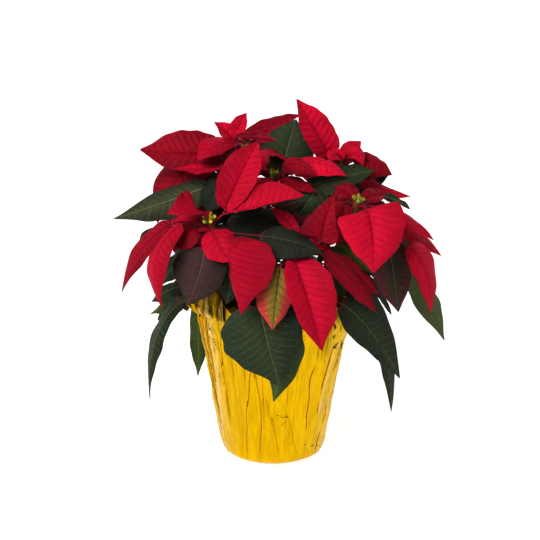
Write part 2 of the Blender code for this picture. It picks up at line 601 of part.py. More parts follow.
def filler(head, compass, droop, reach, root):
    """A bract, or a leaf where root is given, that grows in a compass direction and droops."""
    angle = math.radians(compass)
    slope = math.radians(droop)
    level = Vector((math.cos(angle), math.sin(angle), 0))
    out = level * math.cos(slope) - Vector((0, 0, math.sin(slope)))
    up = level * math.sin(slope) + Vector((0, 0, math.cos(slope)))
    foot = on_branch(head, root) if root else Vector(head.hub)
    start = foot + out * reach * 0.2 + up * reach * 0.06
    tip = foot + out * reach - up * reach * 0.06
    via = start.lerp(tip, 0.5) + up * reach * 0.09
    half = reach * (0.22 if root else 0.27)
    fold, form = (-8, "plain") if root else (10, "oval")
    places = (tuple(start), tuple(via), tuple(tip))
    return Blade(*places, half, half, tuple(up), fold, form, 0, 1.2, root)


def tries(head, compass, root):
    """The blades that may fill in, in the order in which they are tried."""
    reaches = (112, 98, 84, 70, 56) if root else (92, 80, 66, 54)
    droops = (25, 45, 60, 5, 75) if root else (12, 28, 44, 0, -14, 58)
    for reach in reaches:
        for droop in droops:
            for swing in (0, 12, -12, 24, -24, 36, -36):
                yield filler(head, compass + swing, droop, reach, root)


def blade_base(head, blade, index):
    return on_branch(head, blade.root) if blade.root else bract_base(head, blade, index)


def tree_of(bm):
    tree = BVHTree.FromBMesh(bm)
    bm.free()
    return tree


def stem_tree(points, radius):
    """A search tree of a plain tube along points, in millimetres."""
    bm = bmesh.new()
    rings = []
    for near, far in zip([points[0], *points], points[1:] + [points[-1]]):
        heading = (far - near).normalized()
        across = heading.orthogonal().normalized()
        other = heading.cross(across)
        middle = far if len(rings) == len(points) - 1 else points[len(rings)]
        corners = (across, other, -across, -other)
        rings.append([bm.verts.new((middle + corner * radius) * MM) for corner in corners])
    for low, high in zip(rings, rings[1:]):
        for turn in range(4):
            bm.faces.new((low[turn], low[turn - 1], high[turn - 1], high[turn]))
    return tree_of(bm)


def sheet_tree(blade, base, lift):
    """A search tree of the blade's sheet, moved lift millimetres to its upper side."""
    bm = blade_sheet(blade, base)
    up = Vector(blade.face).normalized() * lift * MM
    bmesh.ops.translate(bm, verts=bm.verts, vec=up)
    return tree_of(bm)


def limits_at(height):
    """How far the crown reaches to the left and right at a height."""
    for (low, left, right), (high, far_left, far_right) in zip(CROWN, CROWN[1:]):
        if height <= high:
            share = max(0, (height - low) / (high - low))
            return left + (far_left - left) * share, right + (far_right - right) * share
    return 0, 0


def in_its_place(blade, base):
    """Whether the whole blade stays in the crown, and above or outside the cover's lip."""
    for row in blade_rows(blade):
        for column in blade_columns(blade):
            point = blade_point(blade, base, row, column)
            left, right = limits_at(point.z + point.y * CROWN_RISE)
            if not left <= point.x <= right:
                return False
            lip = cover_neck(math.atan2(point.y, point.x)) + LIP_HEIGHT + LIP_ZIGZAG + 4
            if point.z < lip and math.hypot(point.x, point.y) < LIP_RADIUS + 6:
                return False
    return True


def place_blades():
    """For each head, its bracts and leaves as (blade, base) pairs, the filling ones included."""
    placed = {}
    trees = []
    for head in HEADS:
        bracts = [(b, blade_base(head, b, i)) for i, b in enumerate(head.bracts)]
        leaves = [(b, blade_base(head, b, i)) for i, b in enumerate(head.leaves)]
        placed[head.name] = (bracts, leaves)
        trees += [(head.name, sheet_tree(b, base, 0)) for b, base in bracts + leaves]
        trees.append((head.name + " stem", stem_tree(branch_points(head), BRANCH_RADIUS_LOW + 1)))
        hub, axis = Vector(head.hub), Vector(head.axis).normalized()
        trees.append(("cups", stem_tree([hub + axis, hub + axis * 13], head.cups * CUP_SPACING + 4)))
    for head in sorted(HEADS, key=lambda head: len(head.bracts)):
        bracts, leaves = placed[head.name]
        wanted = [(compass, None) for compass in head.more_bracts] + list(head.more_leaves)
        for compass, root in wanted:
            group = leaves if root else bracts
            others = [tree for owner, tree in trees if owner != head.name + " stem"]
            for blade in tries(head, compass, root):
                base = blade_base(head, blade, len(group))
                if not in_its_place(blade, base):
                    continue
                sheets = [sheet_tree(blade, base, lift) for lift in (0, 1.3, -1.3, 2.6, -2.6)]
                if not any(sheet.overlap(tree) for sheet in sheets for tree in others):
                    group.append((blade, base))
                    trees.append((head.name, sheets[0]))
                    break
    return placed


def branch(head, leaves, collection, finish):
    parts = bpy.data.collections.new("leaves")
    bpy.context.scene.collection.children.link(parts)
    points = [point * MM for point in branch_points(head)]
    radii = [
        (BRANCH_RADIUS_LOW + (BRANCH_RADIUS_HIGH - BRANCH_RADIUS_LOW) * i / BRANCH_STEPS) * MM
        for i in range(BRANCH_STEPS + 1)
    ]
    body = tube(points, radii, collection, sides=1)
    for blade, base in leaves:
        blade_solid(blade, base, parts)
    return fuse("branch_" + head.name, body, parts, collection, finish)


def bloom(head, bracts, collection, finish):
    parts = bpy.data.collections.new("bracts")
    bpy.context.scene.collection.children.link(parts)
    axis, hub = Vector(head.axis).normalized(), Vector(head.hub)
    ends = [(hub - axis * RECEPTACLE_LENGTH) * MM, hub * MM]
    body = tube(ends, [BRANCH_RADIUS_HIGH * MM, RECEPTACLE_RADIUS * MM], collection, sides=1)
    for blade, base in bracts:
        blade_solid(blade, base, parts)
    return fuse("bloom_" + head.name, body, parts, collection, finish)


def cyathia(head, collection, finish):
    """A ring of little cups round a middle one, on a common cushion over the receptacle."""
    parts = bpy.data.collections.new("cups")
    bpy.context.scene.collection.children.link(parts)
    axis, hub = Vector(head.axis).normalized(), Vector(head.hub)
    to_axis = Vector((0, 0, 1)).rotation_difference(axis).to_matrix()
    seat = hub + axis * TOUCH_GAP / MM
    ends = [seat * MM, (seat + axis * CUP_STALK) * MM]
    spread = head.cups * CUP_SPACING
    body = tube(ends, [RECEPTACLE_RADIUS * 0.6 * MM, spread * MM], collection, sides=1)
    for number in range(head.cups + 1):
        angle = number * 2 * math.pi / head.cups
        ring = spread if number < head.cups else 0
        place = Vector((ring * math.cos(angle), ring * math.sin(angle), CUP_STALK + CUP_LENGTH * 0.3))
        lean = Vector((math.cos(angle), math.sin(angle), 0)) * (0.25 if ring else 0)
        bm = bmesh.new()
        bmesh.ops.create_cone(
            bm, cap_ends=True, segments=5, radius1=CUP_RADIUS * 0.6, radius2=CUP_RADIUS, depth=CUP_LENGTH
        )
        for vert in bm.verts:
            vert.co = (seat + to_axis @ (place + vert.co + lean * vert.co.z)) * MM
        add_object("cup", mesh_of(bm), parts)
    return fuse("cyathia_" + head.name, body, parts, collection, finish)


def clear_scene():
    for obj in list(bpy.data.objects):
        bpy.data.objects.remove(obj)


def main():
    clear_scene()
    plant = bpy.data.collections.new("potted_poinsettia")
    bpy.context.scene.collection.children.link(plant)
    foil = material("gold_foil", (0.85, 0.6, 0.05), 0.25, 1.0)
    plastic = material("pot_plastic", (0.03, 0.06, 0.03), 0.5)
    earth = material("peat_soil", (0.05, 0.03, 0.02), 0.95)
    wood = material("woody_stem", (0.3, 0.22, 0.12), 0.8)
    green = material("green_leaf", (0.02, 0.07, 0.03), 0.5)
    red = material("red_bract", (0.6, 0.01, 0.02), 0.5)
    yellow = material("cyathia_green", (0.45, 0.5, 0.05), 0.5)
    foil_cover(plant, foil)
    nursery_pot(plant, plastic)
    potting_soil(plant, earth)
    main_stem(plant, wood)
    placed = place_blades()
    for head in HEADS:
        bracts, leaves = placed[head.name]
        branch(head, leaves, plant, green)
        bloom(head, bracts, plant, red)
        cyathia(head, plant, yellow)


main()
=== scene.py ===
# %% [markdown]
# # A potted poinsettia
# A florist's poinsettia is a shrub of green leaves whose branches each end in a whorl of red bracts.
# Bracts are leaves that have turned red, and the true flowers are the small green cups in their middle.
# It stands in a plastic nursery pot, inside a cover folded from gold metallised film.
# The plain frame that holds the sizes is loaded first, and every finer piece below follows its shapes.

# %% load the frame
import math
import random
from collections import namedtuple

import bmesh
import bpy
import numpy as np
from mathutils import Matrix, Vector, noise
from mathutils.bvhtree import BVHTree


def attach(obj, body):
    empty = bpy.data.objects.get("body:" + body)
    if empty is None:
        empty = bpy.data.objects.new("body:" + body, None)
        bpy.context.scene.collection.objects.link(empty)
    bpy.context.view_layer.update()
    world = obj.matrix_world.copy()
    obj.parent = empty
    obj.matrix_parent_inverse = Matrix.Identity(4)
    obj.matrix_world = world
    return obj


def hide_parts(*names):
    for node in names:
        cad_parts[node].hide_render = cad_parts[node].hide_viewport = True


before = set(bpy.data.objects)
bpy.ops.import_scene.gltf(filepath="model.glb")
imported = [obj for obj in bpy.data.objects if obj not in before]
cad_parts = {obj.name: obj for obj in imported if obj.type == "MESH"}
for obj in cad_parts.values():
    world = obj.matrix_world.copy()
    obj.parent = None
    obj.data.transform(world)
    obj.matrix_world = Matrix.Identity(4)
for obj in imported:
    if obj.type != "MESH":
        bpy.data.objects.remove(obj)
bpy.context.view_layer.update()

# %% [markdown]
# ## One shape for everything
# A leaf, a bract, a stem, a cup and the foil cover can all be made as rings of points, one after another.
# A leaf's ring runs over its upper side and back under its lower side, so the leaf comes out as a thin
# closed skin with a real edge. A heap gathers such skins into one mesh, with a colour at each point.

# %% rings of points gathered into one mesh
MM = 0.001


def colour(red, green, blue):
    """A colour as seen on a screen, 0 to 255, as the light values that a material takes."""
    shares = [v / 255 for v in (red, green, blue)]
    return np.array([v / 12.92 if v <= 0.04045 else ((v + 0.055) / 1.055) ** 2.4 for v in shares])


class Heap:
    """Skins, each of rings of points in millimetres, that become one mesh."""

    def __init__(self):
        self.points, self.faces, self.maps, self.tones, self.veins, self.places = [], [], [], [], [], []
        self.count = 0

    def loft(self, rings, tone, vein=None, spots=None, place=None, cap=True):
        """rings has a row for each ring. The rest are the colours, the map in mm and the place there."""
        rows, around = rings.shape[:2]
        total = rows * around
        index = self.count + np.arange(total).reshape(rows, around)
        after = np.roll(index, -1, axis=1)
        self.faces.append(np.stack([index[:-1], after[:-1], after[1:], index[1:]], -1).reshape(-1, 4))
        if cap:
            self.faces += [index[:1, ::-1], index[-1:]]
        if spots is None:
            turn = np.broadcast_to(np.arange(around) * 1.0, (rows, around))
            run = np.cumsum(np.linalg.norm(np.diff(rings[:, 0], axis=0, prepend=rings[:1, 0]), axis=1))
            spots = np.stack([turn, np.broadcast_to(run[:, None], (rows, around))], -1)
        shape = (rows, around, 3)
        tone = np.broadcast_to(tone, shape)
        self.points.append(rings.reshape(-1, 3))
        self.maps.append(spots.reshape(-1, 2))
        self.tones.append(tone.reshape(-1, 3))
        self.veins.append((tone if vein is None else np.broadcast_to(vein, shape)).reshape(-1, 3))
        self.places.append(np.broadcast_to((0, 0, 0) if place is None else place, shape).reshape(-1, 3))
        self.count += total

    def piece(self, name, finish, crease=50):
        """The heap as an object, smooth but for edges sharper than crease degrees."""
        corners = np.concatenate([face.ravel() for face in self.faces])
        sizes = np.concatenate([np.full(len(face), face.shape[1]) for face in self.faces])
        mesh = bpy.data.meshes.new(name)
        mesh.vertices.add(self.count)
        mesh.vertices.foreach_set("co", (np.concatenate(self.points) * MM).ravel())
        mesh.loops.add(len(corners))
        mesh.loops.foreach_set("vertex_index", corners)
        mesh.polygons.add(len(sizes))
        mesh.polygons.foreach_set("loop_start", np.cumsum(sizes) - sizes)
        mesh.update(calc_edges=True)
        mesh.validate()
        spots = np.concatenate(self.maps)[corners] / 100
        mesh.uv_layers.new(name="UVMap").uv.foreach_set("vector", spots.ravel())
        for title, values in (("tone", self.tones), ("vein", self.veins)):
            values = np.concatenate(values)
            values = np.concatenate([values, np.ones((len(values), 1))], axis=1)
            layer = mesh.attributes.new(title, "FLOAT_COLOR", "POINT")
            layer.data.foreach_set("color", values.astype(np.float32).ravel())
        layer = mesh.attributes.new("place", "FLOAT_VECTOR", "POINT")
        layer.data.foreach_set("vector", np.concatenate(self.places).astype(np.float32).ravel())
        mesh.polygons.foreach_set("use_smooth", np.ones(len(sizes), bool))
        mesh.set_sharp_from_angle(angle=math.radians(crease))
        mesh.materials.append(finish)
        made = bpy.data.objects.new(name, mesh)
        bpy.context.scene.collection.objects.link(made)
        return made


def settle(piece, node):
    """The piece takes the place of the frame's node and rides with the plant."""
    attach(piece, "root")
    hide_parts(node)
    return piece


def smooth(value, low, high):
    """0 below low, 1 above high, and an even curve between."""
    share = np.clip((value - low) / (high - low), 0, 1)
    return share * share * (3 - 2 * share)


def frames_along(points):
    """Unit directions along a line of points, and two directions square to each."""
    heading = np.gradient(points, axis=0)
    heading /= np.linalg.norm(heading, axis=1)[:, None]
    across = np.zeros_like(heading)
    across[0] = Vector(heading[0]).orthogonal().normalized()
    for i in range(1, len(points)):
        kept = across[i - 1] - heading[i] * across[i - 1].dot(heading[i])
        across[i] = kept / np.linalg.norm(kept)
    return heading, across, np.cross(heading, across)


def pipe(heap, points, radii, tone, sides=12, relief=None, place=None):
    """A round skin along points. relief adds to the radius, with a row for each point."""
    points = np.array(points, float)
    _, across, other = frames_along(points)
    turn = np.linspace(0, 2 * np.pi, sides, endpoint=False)
    radius = np.broadcast_to(np.array(radii, float)[:, None], (len(points), sides))
    radius = radius + (0 if relief is None else relief)
    rings = points[:, None] + radius[..., None] * (
        np.cos(turn)[None, :, None] * across[:, None] + np.sin(turn)[None, :, None] * other[:, None]
    )
    run = np.cumsum(np.linalg.norm(np.diff(points, axis=0, prepend=points[:1]), axis=1))
    spots = np.stack(np.broadcast_arrays(turn[None, :] * np.mean(radii), run[:, None]), -1)
    heap.loft(rings, tone, spots=spots, place=place)


# %% [markdown]
# ## Finishes
# A material is a chain of small sums. The class below lets those sums be written as plain expressions,
# such as 1 - mask * 0.5, and each one becomes a node.

# %% sums that become shader nodes
class Term:
    """A socket of a material that takes part in sums. A term without a socket only adds nodes."""

    def __init__(self, tree, socket=None):
        self.tree, self.socket = tree, socket

    def node(self, kind, settings=None, values=None, output=0):
        """A new node of a kind, with its settings, then its values or links. Returns one output."""
        made = self.tree.nodes.new("ShaderNode" + kind)
        for name, value in (settings or {}).items():
            setattr(made, name, value)
        for name, value in (values or {}).items():
            if isinstance(value, Term):
                self.tree.links.new(value.socket, made.inputs[name])
            else:
                made.inputs[name].default_value = value
        return Term(self.tree, made.outputs[output])

    def maths(self, operation, *terms, clamp=False):
        return self.node("Math", {"operation": operation, "use_clamp": clamp}, dict(enumerate(terms)))

    def __add__(self, other):
        return self.maths("ADD", self, other)

    def __sub__(self, other):
        return self.maths("SUBTRACT", self, other)

    def __rsub__(self, other):
        return self.maths("SUBTRACT", other, self)

    def __mul__(self, other):
        return self.maths("MULTIPLY", self, other)

    def __truediv__(self, other):
        return self.maths("DIVIDE", self, other)

    def __rtruediv__(self, other):
        return self.maths("DIVIDE", other, self)

    def __pow__(self, other):
        return self.maths("POWER", self, other)

    def __abs__(self):
        return self.maths("ABSOLUTE", self)

    __radd__ = __add__
    __rmul__ = __mul__

    def fraction(self):
        return self.maths("FRACT", self)

    def least(self, other):
        return self.maths("MINIMUM", self, other)

    def most(self, other):
        return self.maths("MAXIMUM", self, other)

    def step(self, low, high):
        """0 below low, 1 above high, and an even curve between."""
        ends = {"Value": self, "From Min": low, "From Max": high}
        return self.node("MapRange", {"interpolation_type": "SMOOTHSTEP"}, ends)

    def blend(self, first, second, kind="MIX"):
        """first where this is 0, and second where it is 1, as colours."""
        sides = [side if isinstance(side, Term) else (*side, 1) for side in (first, second)]
        return self.node("Mix", {"data_type": "RGBA", "blend_type": kind},
                         {0: self, 6: sides[0], 7: sides[1]}, output=2)

    def part(self, axis):
        """One of a vector's three numbers."""
        return self.node("SeparateXYZ", values={"Vector": self}, output=axis)


class Finish:
    """A material under construction."""

    def __init__(self, name, **constants):
        self.material = bpy.data.materials.new(name)
        self.material.use_nodes = True
        tree = self.material.node_tree
        self.shader = tree.nodes["Principled BSDF"]
        self.start = Term(tree)
        for title, value in constants.items():
            self.set(title.replace("_", " "), value)

    def set(self, name, value):
        if isinstance(value, Term):
            self.start.tree.links.new(value.socket, self.shader.inputs[name])
        else:
            self.shader.inputs[name].default_value = value

    def attribute(self, name, output="Color"):
        return self.start.node("Attribute", {"attribute_name": name}, output=output)

    def noise(self, vector, scale, detail=3.0, rough=0.5):
        values = {"Vector": vector, "Scale": scale, "Detail": detail, "Roughness": rough}
        return self.start.node("TexNoise", values=values)

    def bump(self, height, distance, strength=1.0, onto=None):
        """Dents and rises, with height 1 standing this far out in metres."""
        values = {"Height": height, "Distance": distance, "Strength": strength}
        if onto:
            values["Normal"] = onto
        return self.start.node("Bump", values=values)


# %% [markdown]
# ## Where each leaf and bract goes
# The shrub has twelve branches. The heads that face the viewer are laid out blade by blade, and the sides
# and back fill in by growing each further blade in its direction until it finds room.
# A blade is set by where its stalk ends, where its midrib passes and where its point lies.

# %% sizes of the pot, the cover and the stems
COVER_PROFILE = [(0, 46), (3, 52.5), (6, 56.8), (10, 58.2), (60, 66.7), (113, 75.8), (140, 81.2)]
NECK_HEIGHT = 160
NECK_RADIUS = 86.5
NECK_TILT = 12
NECK_TILT_TOWARDS = math.radians(215)
LIP_HEIGHT = 25
LIP_RADIUS = 94
LIP_ZIGZAG = 8
LIP_POINTS = 7
COVER_WALL = 0.8 * MM
TOUCH_GAP = 0.3 * MM
WELD = 0.01 * MM
POT_HEIGHT = 146
POT_WALL = 1.4
POT_FOOT_RADIUS = 41
POT_HEEL_RADIUS = 50
POT_HEEL_HEIGHT = 6
POT_RIM_RADIUS = 75.5
POT_BAND_RADIUS = 73.5
POT_BAND_HEIGHT = 24
POT_SIDE_RADIUS = 71
SOIL_TOP = 130
SOIL_MOUND = 7
STEM_FOOT = 95
STEM_RADIUS = 6.5
STEM_TOP = 172
STEM_TOP_RADIUS = 5
FORK_RADIUS = 3.7
FORK_LENGTH = 15
FORK_HEIGHTS = {"low": 144, "middle": 147, "high": 154}
FORK_RISE = 0.75
BRANCH_RADIUS_LOW = 3.4
BRANCH_RADIUS_HIGH = 2.5
BRANCH_STEPS = 7
STRAIGHT_END = 3
RECEPTACLE_RADIUS = 4
RECEPTACLE_LENGTH = 11
CUP_RADIUS = 2.2
CUP_LENGTH = 5.5
CUP_SPACING = 0.92
CUP_STALK = 4.5
STALK_THICKNESS = 2.4 * MM

# %% what describes a blade and a head
# Lengths are in millimetres and angles in degrees. left and right are meant with the tip pointing up and
# the upper side towards the viewer. face is the direction of the upper side, fold lifts both halves,
# root is how far up its branch a leaf grows, and look names its colours below.
Blade = namedtuple("Blade", "start via tip left right face fold form twist wave root look")
Head = namedtuple("Head", "name hub axis tier cups bracts leaves more_bracts more_leaves")


def bract(start, via, tip, left, right, face, fold=0, form="ovate", twist=0, wave=1.0, look="bract"):
    return Blade(start, via, tip, left, right, face, fold, form, twist, wave, None, look)


def leaf(root, start, via, tip, left, right, face, fold=0, form="lobed", twist=0, wave=1.5, look="leaf"):
    return Blade(start, via, tip, left, right, face, fold, form, twist, wave, root, look)


# How soon each form narrows to its base and to its tip, and how deep its side lobes are.
FORMS = {
    "ovate": (0.62, 0.9, 0.0),
    "oval": (0.72, 0.72, 0.0),
    "heart": (0.42, 0.85, 0.0),
    "full": (0.3, 0.85, 0.0),
    "wedge": (0.2, 0.85, 0.0),
    "spade": (0.35, 1.6, 0.0),
    "lance": (0.85, 0.95, 0.0),
    "lobed": (0.6, 0.95, 0.13),
    "plain": (0.6, 0.95, 0.0),
    "disc": (0.5, 0.42, 0.0),
}
DRAWN_TIP = 0.35

# The crown as seen from the front: at each height, how far it reaches to the left and right.
CROWN = [
    (100, -60, 60), (150, -70, 90), (180, -85, 120), (210, -105, 140), (240, -118, 155),
    (285, -124, 145), (315, -122, 118), (345, -116, 104), (362, -100, 84), (378, -60, 58),
    (392, -34, 46), (402, 0, 36),
]
CROWN_RISE = 0.27

